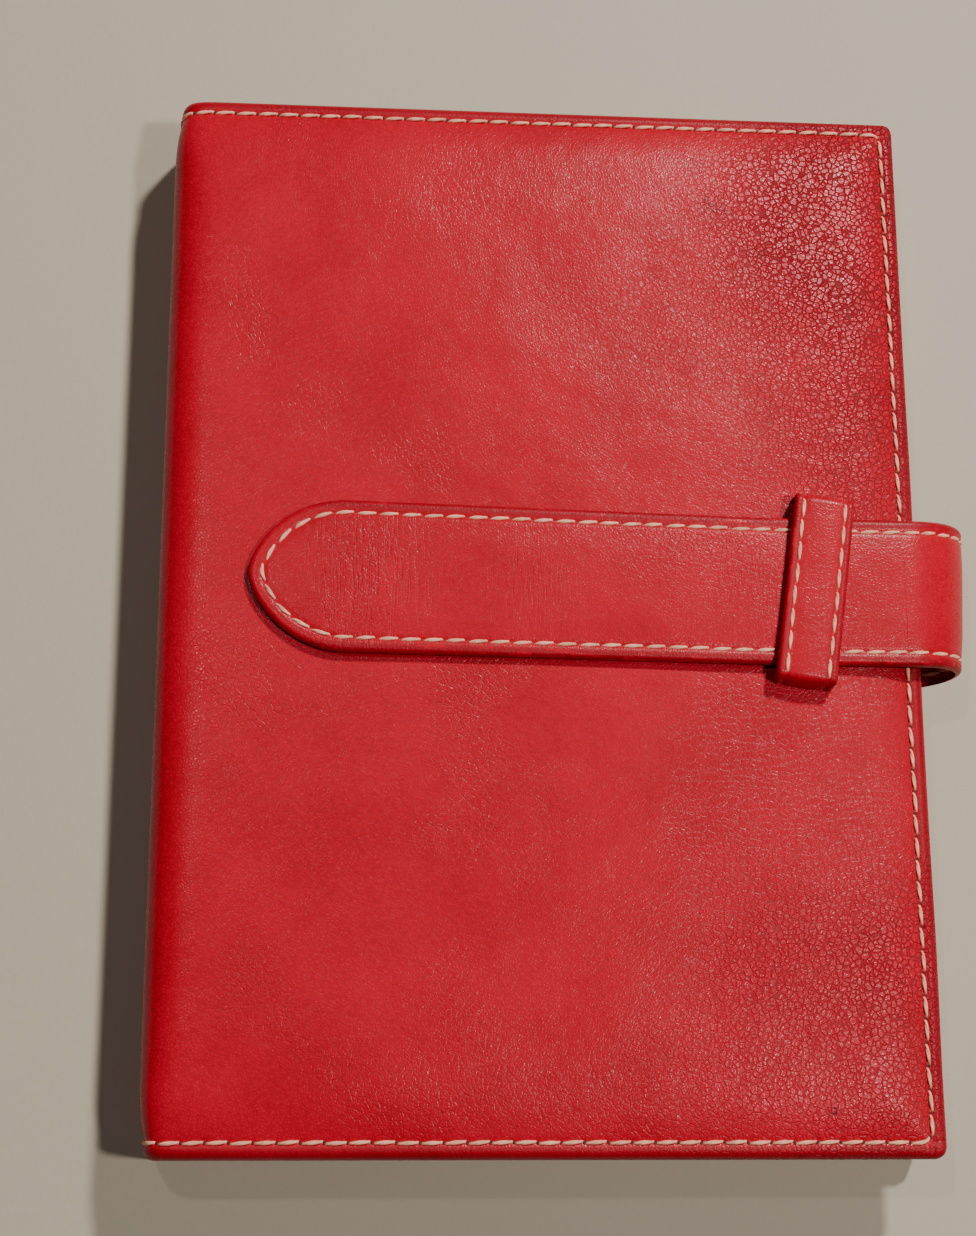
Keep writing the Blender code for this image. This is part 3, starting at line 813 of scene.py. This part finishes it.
def tail_line():
    """Stations of the straight stretch, dense towards the tip."""
    taper_x = STRAP_TIP + STRAP_TAPER
    count = 74
    xs = [STRAP_LAND + (taper_x - STRAP_LAND) * i / count for i in range(count)]
    xs += [taper_x - STRAP_TAPER * (1 - (1 - k / 40) ** 1.8) for k in range(40)] + [STRAP_TIP]
    return [(Vector((x, 0.0, STRAP_MID)), Vector((0.0, 0.0, 1.0)), tail_half(x)) for x in xs]


STRAP_INSETS = (
    0.0, 0.12, 0.32, 0.6, 0.95, 1.35, 1.8, 2.2, 2.55, 2.8, 3.05, 3.4, 3.9, 4.6, 5.6, 7.0, 9.0, 11.5,
)


def strap_columns():
    left = [-(STRAP_HALF - inset * MM) for inset in STRAP_INSETS]
    return left + [-1.9 * MM, 1.9 * MM] + [-value for value in reversed(left)]


def strap_rise(inset):
    """Height of the strap's top face over its parting line, by distance from the edge, in metres."""
    mm = inset / MM
    edge = 1.25 * math.sqrt(max(1 - (1 - min(mm / 1.15, 1.0)) ** 2, 0.0))
    groove = -0.30 * math.exp(-(((mm - 2.8) / 0.42) ** 2))
    crown = 0.24 * step(2.6, 9.0, mm)
    return (edge + groove + crown) * MM


def strap_drop(inset):
    mm = inset / MM
    edge = 1.25 * math.sqrt(max(1 - (1 - min(mm / 0.9, 1.0)) ** 2, 0.0))
    return edge * MM


def outline_samples():
    spots = []
    for k in range(121):
        x = STRAP_TIP + (STRAP_TAPER + 12 * MM) * (k / 120) ** 1.6
        spots.append((x, tail_half(x)))
    return spots


OUTLINE = outline_samples()


def tail_inset(x, y):
    """Distance of a point of the tail from its outline."""
    y = abs(y)
    if x > STRAP_TIP + STRAP_TAPER + 9 * MM:
        return max(STRAP_HALF - y, 0.0)
    best = 1.0
    for (x0, y0), (x1, y1) in zip(OUTLINE, OUTLINE[1:]):
        dx, dy = x1 - x0, y1 - y0
        share = min(max(((x - x0) * dx + (y - y0) * dy) / max(dx * dx + dy * dy, 1e-12), 0.0), 1.0)
        away = math.hypot(x - x0 - dx * share, y - y0 - dy * share)
        best = min(best, away)
    return best


def strap_lean(place, y):
    """The strap's bend leans a little towards the head and its tail swings the same way."""
    share = step(STRAP_LAND, STRAP_BEND, place.x)
    swing = min(max((KEEPER_LOW.x - place.x) / (KEEPER_LOW.x - STRAP_TIP), 0.0), 1.0)
    return Vector((0.055 * y * share, 0.5 * MM * share + (1.9 * MM + 0.03 * y) * swing, 0.0))


def strap_bm(stations, tail=False, root=False, flat_start=0.0):
    across = strap_columns()
    runs = [flat_start]
    for one, two in zip(stations, stations[1:]):
        runs.append(runs[-1] + (two[0] - one[0]).length)
    seed = 7.7

    def spot(i, j, top):
        centre, normal, half = stations[i]
        y = across[j] * half / STRAP_HALF
        inset = tail_inset(centre.x, y) if tail else STRAP_HALF - abs(across[j])
        if j in (0, len(across) - 1) or half < 0.02 * MM:
            inset = 0.0
        height = strap_rise(inset) if top else -strap_drop(inset)
        if root:
            height *= 0.56 + 0.44 * step(FORE_X - 3 * MM, FORE_X + 0.4 * MM, centre.x)
        calm = step(1.0 * MM, 5.0 * MM, inset)
        if tail and top:
            height += noise.noise(Vector((centre.x * 60, y * 60, seed))) * 0.12 * MM * calm
        return Vector((0.0, STRAP_Y + y, 0.0)) + centre + normal * height + strap_lean(centre, y)

    def flat(i, j):
        return Vector((runs[i] + 0.4, across[j] * stations[i][2] / STRAP_HALF, 0.3))

    return two_faced(len(stations), len(across), spot, flat)


def strap_seam(stations, side):
    """Stitch path near one edge of the strap."""
    points = []
    height = strap_rise(STRAP_SEAM) - THREAD_SINK
    for centre, normal, half in stations:
        y = side * (half - STRAP_SEAM)
        spot = Vector((0, STRAP_Y + y, 0)) + centre + normal * height
        points.append((spot + strap_lean(centre, y), normal))
    return points


def tail_seam():
    """Seam round the tail: out along one side, round the point and back."""
    height = STRAP_MID + strap_rise(STRAP_SEAM) - THREAD_SINK
    up = Vector((0, 0, 1))
    xs = [STRAP_LAND + (STRAP_TIP + STRAP_TAPER + 4 * MM - STRAP_LAND) * i / 40 for i in range(41)]
    upper = [Vector((x, STRAP_HALF - STRAP_SEAM, 0)) for x in xs]
    spots = [(x, y) for x, y in reversed(OUTLINE) if x < xs[-1]]
    for before, here, after in zip(spots, spots[1:], spots[2:]):
        direction = Vector((after[0] - before[0], after[1] - before[1], 0)).normalized()
        inwards = Vector((-direction.y, direction.x, 0))
        place = Vector((here[0], here[1], 0)) + inwards * STRAP_SEAM
        if place.y > 0.05 * MM and place.x < upper[-1].x - 0.05 * MM:
            upper.append(place)
    tip = Vector((min(point.x for point in upper) - 0.05 * MM, 0, 0))
    lower = [Vector((point.x, -point.y, 0)) for point in reversed(upper)]
    ring = upper + [tip] + lower
    return [(Vector((p.x, STRAP_Y + p.y, height)) + strap_lean(p, p.y), up) for p in ring]


# ---------------------------------------------------------------- keeper


def keeper_stations():
    """Path over the strap and down into the cover at both ends: (y, z), normal."""
    top = KEEPER_HIGH.z - 1.05 * MM
    foot = FRONT_HIGH.z - 3.0 * MM
    reach = (KEEPER_HIGH.y - KEEPER_LOW.y) / 2 - 1.55 * MM
    turn = 0.75 * MM
    half = [((reach - turn - 0.3 * MM) * k / 9, top + 0.12 * MM * (1 - (k / 9) ** 2)) for k in range(10)]
    for k in range(9):
        angle = math.pi / 2 * k / 8
        half.append((reach - turn + turn * math.sin(angle), top - turn + turn * math.cos(angle)))
    legs = 6
    end_z = top - turn
    half += [(reach + 0.35 * MM * k / legs, end_z + (foot - end_z) * k / legs) for k in range(1, legs + 1)]
    return [(-y, z) for y, z in reversed(half[1:])] + half


def keeper_place():
    move = Matrix.Translation((KEEPER_X, STRAP_Y, 0.0))
    return move @ Matrix.Rotation(KEEPER_TURN, 4, "Z")


def keeper_normals(path):
    out = []
    for index in range(len(path)):
        before = path[max(index - 1, 0)]
        after = path[min(index + 1, len(path) - 1)]
        dy, dz = after[0] - before[0], after[1] - before[1]
        size = math.hypot(dy, dz)
        out.append(Vector((0.0, -dz / size, dy / size)))
    return out


def keeper_rise(inset):
    mm = inset / MM
    edge = 1.0 * math.sqrt(max(1 - (1 - min(mm / 0.9, 1.0)) ** 2, 0.0))
    groove = -0.26 * math.exp(-(((mm - 1.95) / 0.38) ** 2))
    crown = 0.20 * step(2.0, 5.0, mm)
    return (edge + groove + crown) * MM


KEEPER_INSETS = (0.0, 0.1, 0.28, 0.52, 0.85, 1.2, 1.55, 1.95, 2.35, 2.8, 3.5, 4.6, 6.1)


def keeper_bm():
    path = keeper_stations()
    normals = keeper_normals(path)
    left = [-(KEEPER_HALF - inset * MM) for inset in KEEPER_INSETS]
    across = left + [-x for x in reversed(left)]
    place = keeper_place()
    runs = [0.0]
    for one, two in zip(path, path[1:]):
        runs.append(runs[-1] + math.hypot(two[0] - one[0], two[1] - one[1]))

    def spot(i, j, top):
        y, z = path[i]
        inset = 0.0 if j in (0, len(across) - 1) else KEEPER_HALF - abs(across[j])
        under = -0.85 * MM * math.sqrt(max(1 - (1 - min(inset / (0.7 * MM), 1)) ** 2, 0))
        height = keeper_rise(inset) if top else under
        return place @ (Vector((across[j], y, z)) + normals[i] * height)

    def flat(i, j):
        return Vector((across[j] + 0.8, runs[i], 0.6))

    return two_faced(len(path), len(across), spot, flat)


def keeper_seam(side):
    path = keeper_stations()
    normals = keeper_normals(path)
    place = keeper_place()
    turn = place.to_3x3()
    points = []
    for (y, z), normal in zip(path, normals):
        if normal.z < 0.75:
            continue
        x = side * (KEEPER_HALF - KEEPER_SEAM)
        spot = Vector((x, y, z)) + normal * (keeper_rise(KEEPER_SEAM) - THREAD_SINK)
        points.append((place @ spot, turn @ normal))
    return points


# ---------------------------------------------------------------- inside


def soft_slab(low, high, edge, columns=24, rows=34):
    """Thin soft sheet between two corners with rounded edges."""
    size = high - low
    middle = (low + high) / 2

    def spread(count, width):
        ends = [0.0, 0.15 * edge, 0.45 * edge, edge, 1.8 * edge]
        inside = [ends[-1] + (width - 2 * ends[-1]) * i / count for i in range(1, count)]
        return ends + inside + [width - value for value in reversed(ends)]

    xs = spread(columns, size.x)
    ys = spread(rows, size.y)

    def spot(i, j, top):
        inset = min(xs[i], size.x - xs[i], ys[j], size.y - ys[j])
        share = math.sqrt(max(1 - (1 - min(inset / edge, 1.0)) ** 2, 0.0))
        z = middle.z + size.z / 2 * (share if top else -share)
        return Vector((low.x + xs[i], low.y + ys[j], z))

    def flat(i, j):
        return Vector((low.x + xs[i], low.y + ys[j], 0.9))

    return two_faced(len(xs), len(ys), spot, flat)


def lining_bm(first, last, panel, front):
    """Cloth lining of a cover half, or of the spine's middle when panel is 0."""
    steps = 16
    travels = [turn_travel(first + (last - first) * i / steps) for i in range(steps + 1)]
    if panel:
        travels += [0.4 * MM, 0.8 * MM, 1.2 * MM, 1.8 * MM, 3.0 * MM]
        end = PANEL - LINING_INSET
        travels += [3.0 * MM + (end - 3.0 * MM) * i / 60 for i in range(1, 60)] + [end - 0.3 * MM, end]
    side = HALF - LINING_INSET
    ys = [-side, -side + 0.3 * MM] + [-side + 2 * side * i / 90 for i in range(1, 90)]
    ys += [side - 0.3 * MM, side]

    def depth_at(travel):
        spine = 2.95 * MM
        flat = LINING_LOW.z
        return spine + (flat - spine) * step(-2.2 * MM, 1.0 * MM, travel)

    def spot(i, j, top):
        travel = travels[i]
        edge = min(side - abs(ys[j]), (PANEL - LINING_INSET - travel) if panel else 1.0)
        round_off = 0.38 * MM * (1 - step(0, 0.35 * MM, edge))
        thickness = 0.76 * MM
        ripple = 0.05 * MM * noise.noise(Vector((travel * 90, ys[j] * 90, 5.0)))
        depth = depth_at(travel)
        depth += (thickness - round_off + ripple) if top else round_off
        return cover_place(travel, ys[j], depth, front)

    def flat(i, j):
        return Vector((travels[i], ys[j], 1.2))

    return two_faced(len(travels), len(ys), spot, flat)


def page_stack_bm(low, high, leaves, seed):
    """Stack of single leaves with slightly uneven edges and rounded outer corners."""
    dice = random.Random(seed)
    bm = bmesh.new()
    layer = (high.z - low.z) / leaves
    for index in range(leaves):
        made = bmesh.ops.create_cube(bm, size=1.0)
        verts = made["verts"]
        jitter_x = dice.uniform(-0.22, 0.0) * MM
        jitter_y = dice.uniform(-0.16, 0.16) * MM
        size = Vector((high.x - low.x + jitter_x, high.y - low.y - 0.4 * MM, layer * 0.86))
        centre = Vector(((low.x + high.x + jitter_x) / 2, jitter_y, low.z + layer * (index + 0.5)))
        bmesh.ops.scale(bm, vec=size, verts=verts)
        bmesh.ops.translate(bm, vec=centre, verts=verts)
        upright = [
            edge for edge in {edge for vert in verts for edge in vert.link_edges}
            if abs(edge.verts[0].co.z - edge.verts[1].co.z) > layer * 0.5 and edge.verts[0].co.x > centre.x
        ]
        bmesh.ops.bevel(
            bm, geom=upright, offset=LEAF_CORNER, segments=5, profile=0.5, affect="EDGES", material=-1
        )
    return bm


# ---------------------------------------------------------------- settings and operators


def color_prop(name, description, default):
    return bpy.props.FloatVectorProperty(
        name=name, description=description, subtype="COLOR", size=4, min=0.0, max=1.0, default=default
    )


def length_prop(name, description, default):
    return bpy.props.FloatProperty(name=name, description=description, subtype="DISTANCE", default=default)


class CoverSettings(bpy.types.PropertyGroup):
    leather_color: color_prop("Leather", "Main colour of the dyed leather", (0.62, 0.002, 0.026, 1.0))
    leather_deep: color_prop("Leather deep", "Colour of its darker patches", (0.50, 0.001, 0.018, 1.0))
    leather_bright: color_prop("Leather bright", "Rubbed tops of the grain", (0.72, 0.008, 0.042, 1.0))
    # leather_shade_and_stain is a dark red that stands for painted shade in the grain's valleys, the creases,
    # the folds and along the edges, and also colours the real stains.
    leather_shade_and_stain: color_prop("Leather creases", "Creases of the grain", (0.13, 0.0005, 0.004, 1.0))
    thread_color: color_prop("Thread", "Main colour of the thread", (1.0, 0.50, 0.33, 1.0))
    thread_shade: color_prop("Thread soiled", "Colour of the soiled thread", (0.72, 0.34, 0.22, 1.0))
    grain_size: length_prop("Grain size", "Width of one pebble of the grain", 0.62 * MM)
    padding: length_prop("Padding", "Rise of the padded face inside the seam", 1.2 * MM)
    stitch_pitch: length_prop("Stitch pitch", "Distance from one stitch to the next", 4.5 * MM)
    thread_width: length_prop("Thread width", "Thickness of the thread", 0.72 * MM)


def place_between(piece, one, two, start, end):
    """Bake a piece's transform into its mesh."""
    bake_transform(piece)
    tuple(start)
    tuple(end)


# Folds of the spine: the two bodies and where the bend between them starts and ends
BACK_TURN = ("back_cover", "spine_low", spine_place(SPINE_SPLIT / 2), spine_place(SPINE_SPLIT))
MIDDLE_TURN = ("spine_low", "spine_high", spine_place(SPINE_SPLIT), spine_place(2 * SPINE_SPLIT))
FRONT_TURN = ("spine_high", "front_cover", spine_place(2 * SPINE_SPLIT), spine_place(2.5 * SPINE_SPLIT))


class COVER_OT_leather(bpy.types.Operator):
    """Make the padded leather of both covers and the skin round the spine"""

    bl_idname = "cover.leather"
    bl_label = "Cover leather"

    def execute(self, context):
        settings = context.scene.notebook_cover
        front = make_piece("front_leather_padded", cover_bm(True, settings), [cover_leather(settings)] * 2)
        place_between(front, *FRONT_TURN)
        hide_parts("front_outer_leather", "spine_leather_high")
        back = make_piece("back_leather_padded", cover_bm(False, settings), [back_leather(settings)] * 2)
        place_between(back, *BACK_TURN)
        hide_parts("back_outer_leather", "spine_leather_low")
        middle = make_piece("spine_leather_middle", spine_bm(), [cover_leather(settings)] * 2)
        place_between(middle, *MIDDLE_TURN)
        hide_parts("spine_leather_low", "spine_leather_high")
        return {"FINISHED"}


class COVER_OT_seams(bpy.types.Operator):
    """Sew the contrast seams round both covers and over the ends of the spine"""

    bl_idname = "cover.seams"
    bl_label = "Cover seams"

    def execute(self, context):
        settings = context.scene.notebook_cover
        front = stitch_piece("front_seam_stitches", [(cover_seam(True), 3, 1.0)], settings)
        place_between(front, *FRONT_TURN)
        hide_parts("front_seam_thread", "spine_thread_high_head", "spine_thread_high_tail")
        back = stitch_piece("back_seam_stitches", [(cover_seam(False), 5, 1.0)], settings)
        place_between(back, *BACK_TURN)
        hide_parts("back_seam_thread", "spine_thread_low_head", "spine_thread_low_tail")
        ends = [(spine_seam(1), 7, 1.0), (spine_seam(-1), 9, 1.0)]
        spine = stitch_piece("spine_seam_stitches", ends, settings)
        place_between(spine, *MIDDLE_TURN)
        return {"FINISHED"}


def strap_nodes(part):
    return ["strap_leather_" + part, "strap_lining_" + part]


class COVER_OT_strap(bpy.types.Operator):
    """Make the lined strap, from its root in the back cover round the bend to the pointed tail"""

    bl_idname = "cover.strap"
    bl_label = "Strap"

    def execute(self, context):
        settings = context.scene.notebook_cover
        leathers = [strap_leather(settings), strap_back(settings)]
        level = STRAP_ROOT_Z
        down = Vector((0, 0, -1))
        root_x = [TONGUE_LOW.x + (STRAP_START - TONGUE_LOW.x) * i / 14 for i in range(15)]
        root_line = [(Vector((x, 0.0, level)), down, STRAP_HALF) for x in root_x]
        lines = (
            ("root", root_line, "back_cover", "strap_low", ["strap_root_tongue"]),
            ("bend_low", strap_line(0, 60, 16), "strap_low", "strap_middle_1", strap_nodes("low")),
            (
                "bend_middle", strap_line(60, 120, 16), "strap_middle_1", "strap_middle_2",
                strap_nodes("middle_1"),
            ),
            ("bend_high", strap_line(120, 180, 16), "strap_middle_2", "strap_high", strap_nodes("middle_2")),
        )
        flat_start = 0.0
        for name, line, one, two, nodes in lines:
            bm = strap_bm(line, root=name == "root", flat_start=flat_start)
            piece = make_piece("strap_" + name, bm, leathers)
            flat_start += sum((b[0] - a[0]).length for a, b in zip(line, line[1:]))
            ends = [station[0] + Vector((0, STRAP_Y, 0)) for station in (line[0], line[-1])]
            place_between(piece, one, two, *ends)
            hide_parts(*nodes)
            if name != "root":
                rows = [(strap_seam(line, 1), 20, 1.0), (strap_seam(line, -1), 21, 1.0)]
                stitches = stitch_piece("strap_" + name + "_stitches", rows, settings)
                place_between(stitches, one, two, *ends)
        line = tail_line()
        tail = make_piece("strap_tail", strap_bm(line, tail=True, flat_start=flat_start), leathers)
        ends = (Vector((STRAP_LAND, STRAP_Y, STRAP_MID)), Vector((STRAP_TIP, STRAP_Y, STRAP_MID)))
        place_between(tail, "strap_high", "strap_tail", *ends)
        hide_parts(*strap_nodes("high"), "strap_tail_leather", "strap_tail_lining")
        stitches = stitch_piece("strap_tail_stitches", [(tail_seam(), 30, 1.0)], settings)
        place_between(stitches, "strap_high", "strap_tail", *ends)
        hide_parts("strap_tail_thread")
        return {"FINISHED"}


class COVER_OT_keeper(bpy.types.Operator):
    """Make the sewn keeper that holds the strap's tail"""

    bl_idname = "cover.keeper"
    bl_label = "Keeper"

    def execute(self, context):
        settings = context.scene.notebook_cover
        keeper = make_piece("keeper", keeper_bm(), [keeper_leather(settings), strap_back(settings)])
        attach(keeper, "front_cover")
        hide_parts("keeper_band", "keeper_lining")
        rows = [(keeper_seam(-1), 40, 0.3), (keeper_seam(1), 41, 0.3)]
        stitches = stitch_piece("keeper_stitches", rows, settings)
        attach(stitches, "front_cover")
        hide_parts("keeper_thread_left", "keeper_thread_right")
        return {"FINISHED"}


class COVER_OT_linings(bpy.types.Operator):
    """Line both covers and the spine and add the pocket sleeves"""

    bl_idname = "cover.linings"
    bl_label = "Linings and pockets"

    def execute(self, context):
        settings = context.scene.notebook_cover
        cloth = finish_named("cover_lining", lining_material, (0.30, 0.05, 0.05, 1), (0.13, 0.02, 0.022, 1))
        back = lining_bm(SPINE_SPLIT, 0, True, False)
        front = lining_bm(SPINE_SPLIT, 0, True, True)
        middle = lining_bm(2 * SPINE_SPLIT, SPINE_SPLIT, False, False)
        pieces = (
            ("back", back, BACK_TURN, ("back_lining", "spine_lining_back")),
            ("front", front, FRONT_TURN, ("front_lining", "spine_lining_front")),
            ("spine", middle, MIDDLE_TURN, ("spine_lining_low", "spine_lining_high")),
        )
        for name, bm, turn, nodes in pieces:
            piece = make_piece(name + "_lining_cloth", bm, [cloth, cloth])
            place_between(piece, *turn)
            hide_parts(*nodes)
        for side, body in (("back", "back_cover"), ("front", "front_cover")):
            node = side + "_pocket_sleeve"
            low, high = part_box(node)
            piece = make_piece(side + "_pocket", soft_slab(low, high, 0.4 * MM), [back_leather(settings)] * 2)
            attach(piece, body)
            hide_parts(node)
        return {"FINISHED"}


class COVER_OT_insert(bpy.types.Operator):
    """Make the paper insert: cards, leaves and the tape down their back"""

    bl_idname = "cover.insert"
    bl_label = "Paper insert"

    def execute(self, context):
        paper = finish_named("leaf_paper", paper_material, (0.86, 0.83, 0.74, 1), (0.74, 0.69, 0.57, 1))
        bodies = {1: "leaves", 2: "leaves", 3: "back_cover", 4: "back_cover"}
        for number, body in bodies.items():
            node = f"page_section_{number}"
            low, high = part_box(node)
            piece = make_piece(f"leaves_{number}", page_stack_bm(low, high, 8, number), [paper])
            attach(piece, body)
            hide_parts(node)
        card = finish_named("insert_card", paper_material, (0.045, 0.045, 0.05, 1), (0.02, 0.02, 0.022, 1))
        for node in ("notebook_back_card", "notebook_front_card"):
            paint(node, card)
        tape = finish_named("insert_tape", lining_material, (0.05, 0.05, 0.055, 1), (0.015, 0.015, 0.018, 1))
        for node in ("notebook_tape_back", "notebook_tape_front"):
            paint(node, tape)
        return {"FINISHED"}


def paint(node, material):
    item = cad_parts[node]
    item.data.materials.clear()
    item.data.materials.append(material)


class COVER_OT_stiffeners(bpy.types.Operator):
    """Finish the boards and foam pads inside the covers"""

    bl_idname = "cover.stiffeners"
    bl_label = "Boards and foam"

    def execute(self, context):
        board = finish_named("grey_board", paper_material, (0.36, 0.32, 0.27, 1), (0.22, 0.19, 0.16, 1))
        foam = finish_named("pad_foam", foam_material)
        for side in ("back", "front"):
            paint(side + "_board", board)
            paint(side + "_foam", foam)
        return {"FINISHED"}


def add_light(name, place, size, power):
    """Round lamp aimed at the middle of the table."""
    data = bpy.data.lights.new(name, "AREA")
    data.shape = "DISK"
    data.size = size
    data.energy = power
    data.color = LAMP_COLOR
    lamp = bpy.data.objects.new(name, data)
    bpy.context.scene.collection.objects.link(lamp)
    lamp.location = place
    lamp.rotation_euler = (-Vector(place)).to_track_quat("-Z", "Y").to_euler()


class COVER_OT_stage(bpy.types.Operator):
    """Set the pale tabletop, the soft lights and the camera"""

    bl_idname = "cover.stage"
    bl_label = "Stage"

    def execute(self, context):
        bm = bmesh.new()
        bmesh.ops.create_grid(bm, x_segments=2, y_segments=2, size=2.5)
        floor = make_piece("tabletop", bm, [finish_named("tabletop", floor_material)])
        add_light("key", (0.455, 0.745, 1.00), 0.12, 16.0)
        add_light("side", (0.46, -0.17, 1.00), 0.09, 6.0)
        add_light("left", (-0.27, 0.23, 0.99), 0.05, 1.1)
        world = bpy.data.worlds.new("studio")
        context.scene.world = world
        world.use_nodes = True
        sky = world.node_tree.nodes["Background"].inputs
        sky["Color"].default_value = (0.92, 0.90, 0.87, 1)
        sky["Strength"].default_value = 0.03
        data = bpy.data.cameras.new("view")
        data.lens = LENS
        data.sensor_width = 36.0
        data.clip_start = 0.01
        camera = bpy.data.objects.new("view", data)
        context.scene.collection.objects.link(camera)
        camera.location = (CAMERA_X + SPINE_EDGE_X + (FORE_X - SPINE_EDGE_X) / 2, CAMERA_Y, CAMERA_Z)
        camera.rotation_euler = CAMERA_TURN
        context.scene.camera = camera
        return {"FINISHED"}


OPERATORS = (
    COVER_OT_leather,
    COVER_OT_seams,
    COVER_OT_strap,
    COVER_OT_keeper,
    COVER_OT_linings,
    COVER_OT_insert,
    COVER_OT_stiffeners,
    COVER_OT_stage,
)


class COVER_PT_sidebar(bpy.types.Panel):
    """Sizes, colours and steps of the notebook cover"""

    bl_idname = "COVER_PT_sidebar"
    bl_label = "Notebook Cover"
    bl_space_type = "VIEW_3D"
    bl_region_type = "UI"
    bl_category = "Cover"

    def draw(self, context):
        settings = context.scene.notebook_cover
        for name in CoverSettings.__annotations__:
            self.layout.prop(settings, name)
        for operator in OPERATORS:
            self.layout.operator(operator.bl_idname)


CLASSES = (CoverSettings, *OPERATORS, COVER_PT_sidebar)


def register():
    for item in CLASSES:
        bpy.utils.register_class(item)
    bpy.types.Scene.notebook_cover = bpy.props.PointerProperty(type=CoverSettings)


def unregister():
    del bpy.types.Scene.notebook_cover
    for item in reversed(CLASSES):
        bpy.utils.unregister_class(item)


def main():
    register()
    for operator in OPERATORS:
        group, name = operator.bl_idname.split(".")
        getattr(getattr(bpy.ops, group), name)()


if __name__ == "__main__":
    main()
